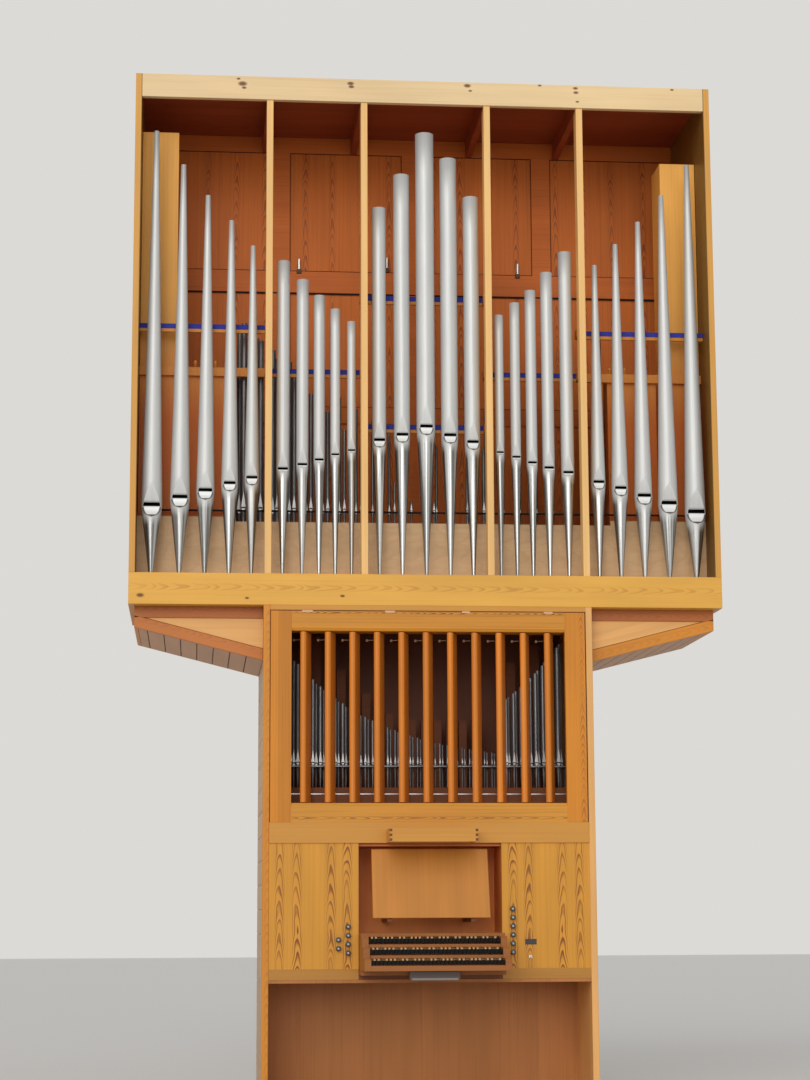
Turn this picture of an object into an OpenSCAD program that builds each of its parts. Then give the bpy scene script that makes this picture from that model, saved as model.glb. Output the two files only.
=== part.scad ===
// Built-in pipe organ: an upper case with an open front of display pipes rests on a narrower
// lower case, which holds the swell box with its shutters and the playing console.

/* [Organ] */
// Depth from the front plane of the cases to the back
organ_depth = 1040; // [900:10:1200]
// Thickness of the upright case boards
case_board = 40; // [30:1:50]

/* [Upper case] */
// Width over the side boards
upper_w = 3640; // [3500:10:3900]
// Height of the underside above the floor
upper_z = 2989; // [2900:1:3100]
// Height from underside to top
upper_h = 3352; // [3300:10:3600]
// Height of the plain rail over the open front
top_rail_h = 150; // [100:5:200]
// Height of the plain rail under the open front
bottom_rail_h = 193; // [150:1:240]
// Thickness of both rails
rail_t = 40; // [30:1:50]
// Thickness of the boards of the roof
roof_t = 45; // [30:1:60]
// Thickness of the floor
floor_t = 40; // [30:1:60]
// Distance of the outer mullions from the middle
mullion_outer = 980; // [960:1:1000]
// Distance of the inner mullions from the middle
mullion_inner = 389; // [380:1:400]
// Width of a mullion
mullion_w = 41; // [30:1:48]
// Depth of a mullion
mullion_d = 90; // [60:1:100]
// Setback of the mullions behind the front plane
mullion_setback = 8; // [0:1:20]
// Height of the roof beams that run back from the mullions
beam_h = 110; // [80:5:150]
// Depth of the toe board's underside below the edge of the lower rail
toe_board_drop = 62; // [50:1:80]
// Thickness of the toe board
toe_board_t = 30; // [24:1:36]

/* [Back of the upper case] */
// Thickness of the framing of the back
back_frame_t = 40; // [30:1:50]
// Thickness of the panels in the framing
back_panel_t = 18; // [12:1:24]
// Height of the top framing rail
back_rail_h = 112; // [90:1:140]
// Height of the middle framing rail
back_mid_h = 148; // [120:1:180]
// Underside of the middle framing rail above the case floor
back_mid_z = 2193; // [2150:1:2250]
// Height of the low framing rail over the case floor
back_low_z = 1306; // [1250:1:1350]
// Width of a stile between the doors and the outer panels
back_stile_w = 130; // [100:5:160]
// Distance of the outer edge of a door from the middle
door_edge = 813; // [790:1:830]

/* [Display pipes] */
// Distance of the pipe axes behind the front plane
pipe_y = 110; // [105:1:120]
// Wall of a display pipe
pipe_wall = 2.5; // [2:0.5:4]
// Radius of the toe of a pipe foot
toe_r = 9; // [7:1:12]
// Height of a mouth as a share of its width
cut_up = 0.2; // [0.15:0.01:0.3]
// Height of the leaf of an upper lip over the width of the mouth
leaf_rise = 1.65; // [1.2:0.05:1.8]
// Height of a round lower lip over the width of the mouth
round_lip = 0.6; // [0.5:0.02:0.8]
// Height of a short lower lip over the width of the mouth
short_lip = 0.3; // [0.2:0.02:0.4]
// Diameter at the open end of a tapered pipe
taper_top_d = 31; // [25:1:40]

/* [Wind chest and supports] */
// Thickness of the chest front
chest_front_t = 25; // [18:1:30]
// Distance of the front of the wind chest behind the front plane
chest_y = 230; // [220:5:260]
// Height of the chest front over the case floor
chest_front_h = 510; // [480:5:540]
// Extra height of the chest front before the wooden pipes
chest_end_rise = 29; // [20:1:40]
// Height of the chest top over the case floor
chest_h = 330; // [300:5:380]
// Depth of the chest
chest_d = 620; // [500:10:700]
// Thickness of the pipe rack over the chest
rack_t = 12; // [8:1:16]
// Height of a felted support rail
felt_rail_h = 52; // [40:1:60]
// Thickness of a felted support rail
felt_rail_t = 20; // [14:1:30]
// Gap between the axes of the display pipes and the felt, so that the widest pipe just leans on it
felt_back = 66; // [66:1:70]
// Height of the felted rails of the outer bays over the case floor
felt_outer_z = 1696; // [1650:1:1740]
// Height of the felted rails of the bays beside the middle
felt_side_z = 1418; // [1380:1:1450]
// Height of the lower felted rail of the middle bay
felt_low_z = 1073; // [1040:1:1100]
// Height of the upper felted rail of the middle bay
felt_high_z = 1899; // [1860:1:1930]

/* [Inner pipes] */
// Number of pipes of a row on each side of the middle
inner_n = 11; // [9:1:12]
// Distance of the first pipe from the middle
inner_first_x = 85; // [70:1:95]
// Distance of the front row behind the chest front
inner_row_y = 110; // [80:5:130]
// Distance between the two rows
inner_row_step = 90; // [70:5:110]
// Offset of the back row to the side
inner_stagger = 26; // [20:1:40]
// Height of the mouths over the rack
inner_mouth = 98; // [80:1:110]
// Length of the shortest pipe over its mouth
inner_short = 60; // [50:1:90]
// Length of the longest pipe over its mouth
inner_long = 1192; // [1100:1:1250]
// Diameter of the narrowest pipe
inner_d_min = 16; // [12:0.5:20]
// Diameter of the widest pipe
inner_d_max = 36; // [30:0.5:44]
// Radius of the toes of the small pipes
small_toe_r = 3; // [2:0.5:4]
// Wall of the small pipes
small_wall = 1; // [0.8:0.1:1.5]
// Play of the small pipes in their rack
rack_play = 0.5; // [0.3:0.1:1]

/* [Pedal pipes] */
// Width of the longest wooden pipe on each side
pedal_pipe_w = 228; // [200:1:240]
// Depth of the longest wooden pipe
pedal_pipe_d = 260; // [200:10:300]
// Length of the longest wooden pipe on the left over the chest
pedal_left_l = 2700; // [2500:5:2800]
// Length of the longest wooden pipe on the right over the chest
pedal_right_l = 2575; // [2400:5:2700]
// Gap between the longest pipe and the side board
pedal_side_gap = 2; // [1:0.5:5]
// Distance of the wooden pipes behind the chest front
pedal_back = 35; // [30:1:45]
// Gap between the longest and the stopped pipes
pedal_gap = 57; // [50:1:60]
// Width of the stopped pipes
pedal_stopped_w = 124; // [110:1:130]
// Depth of the stopped pipes
pedal_stopped_d = 140; // [120:1:160]
// Length of the stopped pipes over the chest
pedal_stopped_l = 1156; // [1140:1:1170]
// Gap between two stopped pipes
pedal_stopped_gap = 2; // [1:0.5:4]
// Gap between the stopped pipes and the rack of the inner pipes
pedal_inner_gap = 6; // [3:1:10]
// Radius of the turned handle of a stopper
handle_r = 12; // [9:0.5:14]
// Height of the handle
handle_h = 75; // [60:1:85]
// Height of the rail in front of the wooden pipes over the case floor
pedal_rail_z = 1438; // [1420:1:1460]
// Height of that rail's section
pedal_rail_h = 55; // [45:1:60]
// Thickness of that rail
pedal_rail_t = 28; // [20:1:34]

/* [Brackets under the upper case] */
// Distance of the bracket ends from the sides of the upper case
bracket_inset = 36; // [20:1:60]
// Setback of the brackets behind the front plane
bracket_setback = 101; // [80:1:130]
// Height of a bracket at its outer end
bracket_low = 128; // [100:1:160]
// Height of a bracket at the lower case
bracket_high = 328; // [300:1:380]
// Height of the top member of a bracket
bracket_top = 70; // [50:1:90]
// Height of the sloping member of a bracket
bracket_slope = 72; // [50:1:90]
// Thickness of the bracket boards
bracket_board = 22; // [16:1:30]

/* [Lower case] */
// Width over the side boards
lower_w = 2008; // [1960:1:2060]
// Thickness of the back
lower_back_t = 20; // [14:1:30]
// Height of the batten under the upper case
batten_h = 30; // [20:1:34]
// Height of the rail between swell front and console
mid_rail_h = 123; // [100:1:140]
// Top of that rail above the floor
mid_rail_top = 1680; // [1660:1:1700]

/* [Swell front] */
// Width of the stiles beside the swell opening
swell_stile_w = 130; // [120:1:140]
// Height of the frame under the swell opening
swell_sill_h = 115; // [100:1:130]
// Height of the frame over the swell opening
swell_head_h = 125; // [110:1:150]
// Thickness of the frame
swell_frame_t = 40; // [30:1:48]
// Gap between a stile and the field of the first shutter
shutter_edge = 14.5; // [12:0.5:20]
// Gap between two shutters when closed
shutter_joint = 9; // [8:0.5:16]
// Thickness of a shutter
shutter_t = 38; // [30:1:40]
// Distance of the shutter axes behind the front plane
shutter_y = 76; // [74:1:90]
// Angle between an open shutter and the depth direction
shutter_open = 19; // [10:1:30]
// Gap between the ends of a shutter and the frame
shutter_gap = 5; // [5:1:10]
// Radius of a pivot pin
pivot_r = 6; // [5:0.5:8]
// Play round a pivot pin
pivot_play = 0.4; // [0.3:0.1:0.6]
// Depth of a pivot bore
pivot_depth = 25; // [20:1:30]
// Gap between the end of a pin and the end of its bore
pivot_end_gap = 3; // [2:0.5:5]
// Depth of the boards that carry the shutters
carrier_d = 150; // [130:5:170]
// Thickness of the boards that carry the shutters
carrier_t = 40; // [30:1:50]
// Chamfer round the swell opening
swell_chamfer = 18; // [10:1:24]

/* [Swell division] */
// Distance of the swell chest behind the front plane
swell_chest_y = 200; // [190:5:240]
// Height of the swell chest
swell_chest_h = 188; // [150:1:200]
// Thickness of the toe board on the swell chest
swell_toe_t = 31; // [20:1:40]
// Height of the swell pipe rack over the toe board
swell_rack_z = 136; // [110:1:160]
// Thickness of the rack
swell_rack_t = 8; // [6:1:12]
// Depth of the swell chest
swell_chest_d = 680; // [600:10:700]
// Gap between the swell chest and the sides of the case
swell_chest_gap = 64; // [40:1:90]
// Setback of the toe board from the edges of the chest
swell_toe_setback = 10; // [5:1:20]
// Thickness of the floor under the swell chest
swell_floor_t = 20; // [16:1:30]
// Distance between two metal pipes of a row
swell_pitch = 46; // [42:1:50]
// Distance of the front row behind the front of the swell chest
swell_row_y = 80; // [70:1:90]
// Distance between the two rows
swell_row_step = 60; // [50:1:70]
// Distance of the edges of the rack from the rows
swell_rack_edge = 40; // [30:1:50]
// Radius of the posts under the rack
post_r = 4; // [3:0.5:6]
// Length of the shortest metal pipe over its mouth
swell_short = 60; // [50:1:80]
// Distance along the rank over which the length doubles
swell_octave = 378; // [350:1:400]
// Place where the treble of the rank ends and the group on the right begins
swell_split = 480; // [460:1:490]
// Length of the first pipe of the group on the right
swell_right_l = 379; // [350:1:400]
// Diameter of the shortest metal pipe
swell_d = 9; // [8:0.5:11]
// Width of the widest wooden pipe behind the metal pipes
swell_wood_w = 62; // [50:1:70]
// Length of the longest wooden pipe
swell_wood_l = 990; // [900:5:1000]

/* [Console] */
// Gap between the cheeks of the keyboards and the walls of the console niche
niche_gap = 3.25; // [2:0.25:10]
// Depth of the console niche
niche_d = 350; // [320:5:400]
// Thickness of the boards that line the niche
niche_board = 18; // [12:1:24]
// Lower edge of the console rails above the floor
console_z = 755; // [740:1:770]
// Height of the console rails
console_rail_h = 61; // [50:1:70]
// Thickness of the console panels
console_t = 25; // [18:1:30]
// Setback of the console panels behind the front plane
console_setback = 5; // [3:1:10]
// Projection of the rail under the swell front
mid_rail_out = 4; // [2:1:10]
// Thickness of that rail
mid_rail_t = 40; // [30:1:50]
// Projection of the low rails in front of the panels
low_rail_out = 3; // [1:1:10]

/* [Keyboards] */
// Top of the lowest manual's naturals above the floor
manual_z = 870; // [860:1:890]
// Rise from one manual to the next
manual_rise = 62; // [58:1:66]
// Projection of the lowest manual in front of the case
manual_out = 430; // [400:1:460]
// Step back from one manual to the next
manual_step = 100; // [95:1:110]
// Number of manuals
manual_n = 3; // [1:1:3]
// Distance from one natural to the next
key_pitch = 23.5; // [23:0.1:23.6]
// Number of naturals on a manual
natural_n = 33; // [22:1:33]
// Gap between two naturals
key_gap = 1.5; // [1:0.1:2]
// Thickness of a natural
natural_t = 22; // [18:1:24]
// Length of a key from its front to the carrier bar
key_l = 150; // [140:1:160]
// Width of a sharp
sharp_w = 11; // [9:0.5:12]
// Height of a sharp over the naturals
sharp_h = 11; // [9:0.5:11]
// Distance of a sharp behind the front of the naturals
sharp_back = 48; // [45:1:52]
// Depth of the bar that joins the keys at the back
key_bar = 20; // [15:1:24]
// Play between the keys and the cheeks
key_play = 1; // [0.5:0.5:2]
// Depth of the rails under the tails of the keys
key_rail_d = 25; // [20:1:30]
// Height of these rails
key_rail_h = 14; // [10:1:18]
// Width of the cheeks beside the keys
cheek_w = 38; // [34:1:40]
// Lead of each step of the cheeks before its keys
cheek_lead = 12; // [8:1:16]
// Bevel on the steps of the cheeks
cheek_bevel = 10; // [6:1:14]
// Depth of the cheeks and the ledge behind the front plane
cheek_back = 60; // [40:5:100]
// Gap between the slip and the naturals
slip_gap = 6; // [5:0.5:8]
// Height of the slip under the lowest manual
slip_h = 30; // [24:1:32]
// Thickness of the key slip
slip_t = 20; // [14:1:22]
// Room for the dip between each upper keyboard and the strip below it
key_dip = 10; // [9:1:12]
// Thickness of the strips below the upper keyboards
key_strip_t = 12; // [8:1:16]
// Thickness of the key bed
keybed_t = 30; // [24:1:36]
// Projection of the key bed in front of the case
keybed_out = 180; // [150:10:220]
// Thickness of the ledge over the top manual
ledge_t = 19; // [14:1:24]

/* [Music desk and lamps] */
// Width of the music desk
desk_w = 701; // [650:1:760]
// Height of the music desk over its lower edge
desk_h = 410; // [380:5:430]
// Lower edge of the music desk above the floor
desk_z = 1113; // [1100:1:1130]
// Distance that the music desk leans back over its height
desk_lean = 130; // [100:5:150]
// Projection of its lower edge in front of the case
desk_out = 80; // [60:5:100]
// Thickness of the music desk
desk_t = 18; // [14:1:22]
// Distance of the arms of the music desk from the middle
desk_arm_x = 235; // [200:5:300]
// Width of an arm
desk_arm_w = 30; // [20:1:40]
// Height of an arm
desk_arm_h = 24; // [18:1:30]
// Half of the width of the wooden lamp box
lamp_half = 263; // [240:1:300]
// Projection of the lamp box
lamp_out = 230; // [200:5:260]
// Height of the lamp box
lamp_h = 80; // [60:1:90]
// Board thickness of the lamp box
lamp_board = 16; // [12:1:20]
// Width of the metal lamp under the keyboards
pedal_lamp_w = 298; // [260:1:340]
// Height of the metal lamp
pedal_lamp_h = 49; // [40:1:55]
// Depth of the metal lamp
pedal_lamp_d = 60; // [40:1:80]
// Gap between the top of the metal lamp and the top of the key bed
pedal_lamp_gap = 8; // [4:1:12]

/* [Stop knobs] */
// Distance of the main columns of knobs from the niche
knob_in = 63; // [55:1:70]
// Distance between the two columns of knobs on the left
knob_column = 58; // [50:1:64]
// Height of the lowest knobs above the floor
knob_z = 911; // [900:1:920]
// Distance between two knobs in a column
knob_pitch = 51; // [48:1:56]
// Diameter of a knob
knob_d = 31; // [26:1:36]
// Thickness of a knob
knob_t = 18; // [14:1:22]
// Gap between a pushed knob and its panel
knob_gap = 6; // [5:1:10]
// Radius of a knob's rod
rod_r = 6; // [5:0.5:7]
// Play round a rod
rod_play = 0.5; // [0.3:0.1:0.8]
// Length of a rod behind the panel
rod_tail = 60; // [50:1:80]

/* [Pedalboard] */
// Number of natural pedals
pedal_n = 18; // [15:1:19]
// Distance from one natural pedal to the next
pedal_pitch = 64; // [62:0.5:66]
// Width of a pedal
pedal_w = 23; // [20:1:26]
// Thickness of the rails that frame the pedals
pedal_frame_t = 30; // [24:1:40]
// Projection of the pedalboard in front of the case
pedal_out = 560; // [500:10:600]
// Height of the natural pedals above the floor
pedal_z = 110; // [90:1:130]
// Height of a sharp pedal over the naturals
pedal_sharp_h = 28; // [20:1:35]
// Distance of the sharp pedals behind the front of the pedalboard
pedal_sharp_y = 420; // [380:10:460]
// Height of a pedal's section
pedal_h = 40; // [30:1:50]
// Depth of the front rail's top below the pedals
pedal_front_drop = 20; // [10:1:30]
// Thickness of the panels round the knee space
knee_t = 20; // [15:1:25]
// Depth of the knee space behind the front plane
knee_d = 540; // [500:10:600]

/* [Hidden] */
$fn = 48;
EPS = 0.5;
SHUTTER_N = 11;
pine = "#DFA958";
pale_pine = "#E5C79A";
dark_pine = "#8A4A28";
panel_pine = "#CE9A4E";
plywood = "#C9A278";
tin = "#C9CBCB";
felt = "#2B3A9A";
ebony = "#1A1A22";
bone = "#D9B98C";
steel = "#8C8C8A";

// Levels and places worked out from the driving dimensions
upper_half = upper_w / 2;
upper_in = upper_half - case_board;
upper_top = upper_z + upper_h;
front_low = upper_z + bottom_rail_h;
front_high = upper_top - top_rail_h;
upper_floor = upper_z + floor_t;
roof_z = upper_top - roof_t;
lower_half = lower_w / 2;
lower_in = lower_half - case_board;
back_y = organ_depth - back_frame_t;
outer_bay = [mullion_outer + mullion_w / 2, upper_in];
side_bay = [mullion_inner + mullion_w / 2, mullion_outer - mullion_w / 2];
middle_bay = [mullion_w / 2 - mullion_inner, mullion_inner - mullion_w / 2];
swell_half = lower_in - swell_stile_w;
shutter_pitch = 2 * (swell_half - shutter_edge) / SHUTTER_N;
shutter_w = shutter_pitch - shutter_joint;
swell_z = mid_rail_top;
swell_low = swell_z + swell_sill_h;
batten_z = upper_z - batten_h;
swell_high = batten_z - swell_head_h;
mid_rail_z = mid_rail_top - mid_rail_h;
mullion_back = mullion_setback + mullion_d;
toe_board_z = front_low - toe_board_drop;
pipe_toe_z = toe_board_z + toe_board_t;
felt_y = pipe_y + felt_back;
bracket_end_x = upper_half - bracket_inset;
chest_top = upper_floor + chest_h;
rack_z = upper_floor + chest_front_h - rack_t;
naturals_w = natural_n * key_pitch;
cheek_x = naturals_w / 2 + key_play;
niche_half = cheek_x + cheek_w + niche_gap;
knob_x = niche_half + knob_in;
knob_outer_x = knob_x + knob_column;
slip_z = manual_z - natural_t - slip_h - slip_gap;
ledge_z = manual_z + (manual_n - 1) * manual_rise + sharp_h + key_play;
knob_rest_y = console_setback - knob_gap;
rod_bore_r = rod_r + rod_play;
shutter_h = swell_high - swell_low - 2 * shutter_gap;
pedal_y = chest_y + chest_front_t + pedal_back;
stopped_x = upper_in - pedal_side_gap - pedal_pipe_w - pedal_gap;
narrow_w = pedal_stopped_w / 2;
inner_half = stopped_x - 2 * (pedal_stopped_w + pedal_stopped_gap) - narrow_w - pedal_inner_gap;
swell_chest_half = lower_in - swell_chest_gap;
swell_toe = swell_z + swell_chest_h + swell_toe_t;
swell_rack = swell_toe + swell_rack_z;

// Display pipes, each as place in its bay, length of the foot, length over the mouth, width of the
// body and width of the mouth; the place is 0 in the middle of the bay and 1 at its outer edge
bay_1 = [
    [0.764, 451, 2400, 128, 108], [0.325, 502, 2133, 122, 99], [-0.072, 547, 1892, 112, 90],
    [-0.452, 594, 1685, 105, 78], [-0.801, 632, 1486, 92, 74]
];
bay_2 = [
    [0.740, 691, 1329, 80, 68], [0.304, 720, 1182, 75, 64], [-0.075, 752, 1051, 69, 59],
    [-0.438, 787, 931, 61, 53], [-0.805, 816, 824, 54, 49]
];
bay_3 = [
    [-0.790, 880, 1499, 87, 75], [-0.404, 914, 1684, 100, 79], [0.000, 966, 1906, 116, 84],
    [0.404, 914, 1797, 106, 82], [0.790, 874, 1588, 98, 77]
];
bay_4 = [
    [-0.805, 816, 883, 56, 49], [-0.438, 787, 993, 63, 56], [-0.075, 752, 1110, 69, 60],
    [0.304, 720, 1261, 76, 65], [0.740, 691, 1426, 82, 69]
];
bay_5 = [
    [-0.801, 632, 1407, 92, 74], [-0.452, 594, 1585, 105, 78], [-0.072, 547, 1783, 112, 90],
    [0.325, 500, 2010, 125, 102], [0.764, 446, 2269, 131, 112]
];

// Pieces are drawn from the front plane; the origin is the middle of the whole on the floor
module in_case() {
    translate([0, (pedal_out - organ_depth) / 2, 0]) children();
}

// A box given by its six sides
module block(x0, x1, y0, y1, z0, z1) {
    translate([x0, y0, z0]) cube([x1 - x0, y1 - y0, z1 - z0]);
}

// A copy on each side of the middle
module both_sides() {
    children();
    mirror([1, 0, 0]) children();
}

// A profile of depth and height, drawn along the width
module across(x0, x1) {
    translate([x0, 0, 0]) rotate([90, 0, 90]) linear_extrude(x1 - x0) children();
}

// Side boards, cut back at the foot for the lower rail that runs over their ends
module case_sides() {
    in_case() color(pine) both_sides() across(upper_in, upper_half) polygon([
        [0, front_low], [0, upper_top], [organ_depth, upper_top], [organ_depth, upper_z],
        [rail_t, upper_z], [rail_t, front_low]
    ]);
}

module case_roof() {
    in_case() color(dark_pine)
        block(-upper_in, upper_in, rail_t, organ_depth, roof_z, upper_top);
}

// A beam under the roof runs back from each mullion
module roof_beams() {
    in_case() color(dark_pine) for (x = [mullion_inner, mullion_outer]) both_sides()
        block(x - mullion_w / 2, x + mullion_w / 2, rail_t, back_y, roof_z - beam_h, roof_z);
}

module top_rail() {
    in_case() color(pale_pine)
        block(-upper_in, upper_in, 0, rail_t, front_high, upper_top);
}

module bottom_rail() {
    in_case() color(pine)
        block(-upper_half, upper_half, 0, rail_t, upper_z, front_low);
}

module case_floor() {
    in_case() color(pine)
        block(-upper_in, upper_in, rail_t, organ_depth, upper_z, upper_floor);
}

module mullions() {
    in_case() color(pine) for (x = [mullion_inner, mullion_outer]) both_sides() {
        block(x - mullion_w / 2, x + mullion_w / 2, mullion_setback, rail_t, front_low, front_high);
        block(x - mullion_w / 2, x + mullion_w / 2, rail_t, mullion_back,
            toe_board_z + toe_board_t, roof_z - beam_h);
    }
}

// Framing of the back: rails across and stiles beside the doors
module back_frame() {
    low = upper_floor + back_low_z;
    mid = upper_floor + back_mid_z;
    in_case() color(dark_pine) {
        block(-upper_in, upper_in, back_y, organ_depth, roof_z - back_rail_h, roof_z);
        block(-upper_in, upper_in, back_y, organ_depth, mid, mid + back_mid_h);
        block(-upper_in, upper_in, back_y, organ_depth, low, low + back_rail_h);
        both_sides() block(door_edge, door_edge + back_stile_w, back_y, organ_depth,
            upper_floor, roof_z);
        block(-back_stile_w / 2, back_stile_w / 2, back_y, organ_depth, upper_floor, roof_z);
    }
}

// Panels and door leaves between the rails and stiles
module back_panels() {
    low = upper_floor + back_low_z;
    mid = upper_floor + back_mid_z;
    rows = [[upper_floor, low], [low + back_rail_h, mid], [mid + back_mid_h, roof_z - back_rail_h]];
    columns = [[back_stile_w / 2, door_edge], [door_edge + back_stile_w, upper_in]];
    y = back_y + (back_frame_t - back_panel_t) / 2;
    in_case() color(dark_pine) for (row = rows, column = columns) both_sides()
        block(column[0], column[1], y, y + back_panel_t, row[0], row[1]);
}

// Chest with its tall front board, and the board in front that the display pipes stand on
module wind_chest() {
    y = chest_y + chest_front_t;
    in_case() color(plywood) union() {
        block(-upper_in, upper_in, y - EPS, chest_y + chest_d, upper_floor, chest_top);
        block(-upper_in, upper_in, chest_y, y, upper_floor, upper_floor + chest_front_h);
        both_sides() block(inner_half, upper_in, chest_y, y, upper_floor,
            upper_floor + chest_front_h + chest_end_rise);
        block(-upper_in, upper_in, rail_t, chest_y + EPS, toe_board_z, pipe_toe_z);
    }
}

// Felted rails behind the display pipes, on blocks at the mullions
module pipe_rails() {
    in_case() color(felt) both_sides() {
        felted(mullion_outer - mullion_w / 2, upper_in, felt_outer_z);
        felted(mullion_inner - mullion_w / 2, mullion_outer + mullion_w / 2, felt_side_z);
    }
    in_case() color(felt) for (z = [felt_low_z, felt_high_z])
        felted(-mullion_inner - mullion_w / 2, mullion_inner + mullion_w / 2, z);
}

module felted(x0, x1, height) {
    z = upper_floor + height;
    block(x0, x1, felt_y, felt_y + felt_rail_t, z, z + felt_rail_h);
    for (x = [mullion_inner, mullion_outer], side = [-1, 1])
        if (side * x > x0 && side * x < x1)
            block(side * x - mullion_w / 2, side * x + mullion_w / 2, mullion_back, felt_y + EPS,
                z, z + felt_rail_h);
}

// Half section of a pipe, from the toe over the widest place at the mouth to the open end
module pipe_body(mouth_z, top_z, r, top_r, inset) {
    rotate_extrude() polygon([
        [0, pipe_toe_z], [toe_r - inset, pipe_toe_z], [r - inset, mouth_z],
        [top_r - inset, top_z], [0, top_z]
    ]);
}

// Space in front of the pressed lips: the upper one runs out in a point, the lower one is flat
module lip_cuts(mouth_z, r, mouth_w, lip_h, inset) {
    flat = sqrt(r * r - mouth_w * mouth_w / 4);
    press = 1.6;
    leaf = mouth_w * leaf_rise;
    steps = 5;
    across(-r, r) {
        polygon(concat(
            [for (i = [0 : steps]) let (t = i / steps)
                [inset - r + (r - flat) * pow(1 - t, press), mouth_z + leaf * t]],
            [[-2 * r, mouth_z + leaf], [-2 * r, mouth_z]]
        ));
        polygon([[inset - flat, mouth_z], [inset - r, mouth_z - lip_h], [-2 * r, mouth_z - lip_h],
            [-2 * r, mouth_z]]);
    }
}

// A display pipe with its leaf shaped upper lip, its lower lip and the mouth between them
module display_pipe(x, p, top_d, lip) {
    mouth_z = pipe_toe_z + p[1];
    top_z = mouth_z + p[2];
    r = p[3] / 2;
    mouth_w = p[4];
    translate([x, pipe_y, 0]) difference() {
        difference() {
            pipe_body(mouth_z, top_z, r, top_d / 2, 0);
            lip_cuts(mouth_z, r, mouth_w, mouth_w * lip, 0);
        }
        difference() {
            translate([0, 0, EPS]) pipe_body(mouth_z, top_z, r, top_d / 2, pipe_wall);
            lip_cuts(mouth_z, r, mouth_w, mouth_w * lip, pipe_wall);
        }
        translate([pipe_wall - mouth_w / 2, -r, mouth_z])
            cube([mouth_w - 2 * pipe_wall, r, mouth_w * cut_up]);
    }
}

// Place of a pipe in its bay
function in_bay(bay, place) = (bay[0] + bay[1]) / 2 + place * (bay[1] - bay[0]) / 2;

// Tapered pipes of the two outer bays
module tapered_pipes() {
    in_case() color(tin) {
        for (p = bay_1) display_pipe(-in_bay(outer_bay, p[0]), p, taper_top_d, round_lip);
        for (p = bay_5) display_pipe(in_bay(outer_bay, p[0]), p, taper_top_d, round_lip);
    }
}

// Cylindrical pipes with short lower lips, in the bays beside the middle
module straight_pipes() {
    in_case() color(tin) {
        for (p = bay_2) display_pipe(-in_bay(side_bay, p[0]), p, p[3], short_lip);
        for (p = bay_4) display_pipe(in_bay(side_bay, p[0]), p, p[3], short_lip);
    }
}

// Large cylindrical pipes of the middle bay
module middle_pipes() {
    in_case() color(tin) for (p = bay_3) display_pipe(in_bay(middle_bay, p[0]), p, p[3], round_lip);
}

// A small metal pipe with foot, mouth and open end
module small_pipe(x, y, foot_z, mouth_z, l, d) {
    w = small_wall;
    translate([x, y, 0]) difference() {
        rotate_extrude($fn = 24) polygon([
            [0, foot_z], [small_toe_r, foot_z], [d / 2, mouth_z], [d / 2, mouth_z + l],
            [d / 2 - w, mouth_z + l], [d / 2 - w, mouth_z + 2 * w], [0, mouth_z + 2 * w]
        ]);
        translate([-d / 3, -d, mouth_z + 3 * w]) cube([d * 2 / 3, d * 2 / 3, d / 4]);
    }
}

// Hole in a rack for the foot of a small pipe
module rack_hole(x, y, foot_z, mouth_z, d, z, t) {
    share = (z + t - foot_z) / (mouth_z - foot_z);
    translate([x, y, z - EPS])
        cylinder(r = small_toe_r + (d / 2 - small_toe_r) * share + rack_play, h = t + 2 * EPS);
}

// Inner pipes of one side, each as place, depth, length over the mouth and diameter
inner_table = [for (row = [0, 1], i = [0 : inner_n - 1])
    let (step = (inner_half - inner_first_x - inner_d_max) / (inner_n - 1), share = i / (inner_n - 1))
    [
        inner_first_x + i * step + row * inner_stagger - inner_stagger / 2,
        chest_y + inner_row_y + row * inner_row_step,
        inner_short + (inner_long - inner_short) * (row == 0 ? share : (1 + 2 * share) / 3),
        inner_d_min + (inner_d_max - inner_d_min) * share
    ]];

// Two rows of metal pipes behind the display pipes, held by the rack over the chest
module inner_pipes() {
    mouth_z = rack_z + rack_t + inner_mouth;
    y = chest_y + chest_front_t;
    in_case() color(tin) both_sides() {
        difference() {
            block(0, inner_half, y, chest_y + inner_row_y + inner_row_step + inner_d_max,
                rack_z, rack_z + rack_t);
            for (p = inner_table) rack_hole(p[0], p[1], chest_top, mouth_z, p[3], rack_z, rack_t);
        }
        for (p = inner_table) small_pipe(p[0], p[1], chest_top, mouth_z, p[2], p[3]);
    }
}

// A stopped wooden pipe with a turned handle on its stopper
module stopped_pipe(x, w) {
    z = chest_top + pedal_stopped_l;
    block(x - w / 2, x + w / 2, pedal_y, pedal_y + pedal_stopped_d, chest_top, z);
    translate([x, pedal_y + pedal_stopped_d / 2, z - EPS]) rotate_extrude() polygon([
        [0, 0], [handle_r, 0], [handle_r * 0.45, handle_h * 0.3], [handle_r * 0.45, handle_h * 0.5],
        [handle_r, handle_h * 0.75], [handle_r * 0.8, handle_h * 0.95], [0, handle_h]
    ]);
}

// The longest pipe, the stopped pipes beside it and the rail in front of them, on one side
module pedal_group(l) {
    x = upper_in - pedal_side_gap;
    step = pedal_stopped_w + pedal_stopped_gap;
    rail_z = upper_floor + pedal_rail_z;
    block(x - pedal_pipe_w, x, pedal_y, pedal_y + pedal_pipe_d, chest_top, chest_top + l);
    for (i = [0, 1]) stopped_pipe(stopped_x - pedal_stopped_w / 2 - i * step, pedal_stopped_w);
    stopped_pipe(stopped_x - 2 * step - narrow_w / 2, narrow_w);
    block(mullion_outer, upper_in, pedal_y - pedal_rail_t, pedal_y, rail_z, rail_z + pedal_rail_h);
}

module pedal_pipes() {
    in_case() color(pine) {
        mirror([1, 0, 0]) pedal_group(pedal_left_l);
        pedal_group(pedal_right_l);
    }
}

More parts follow.
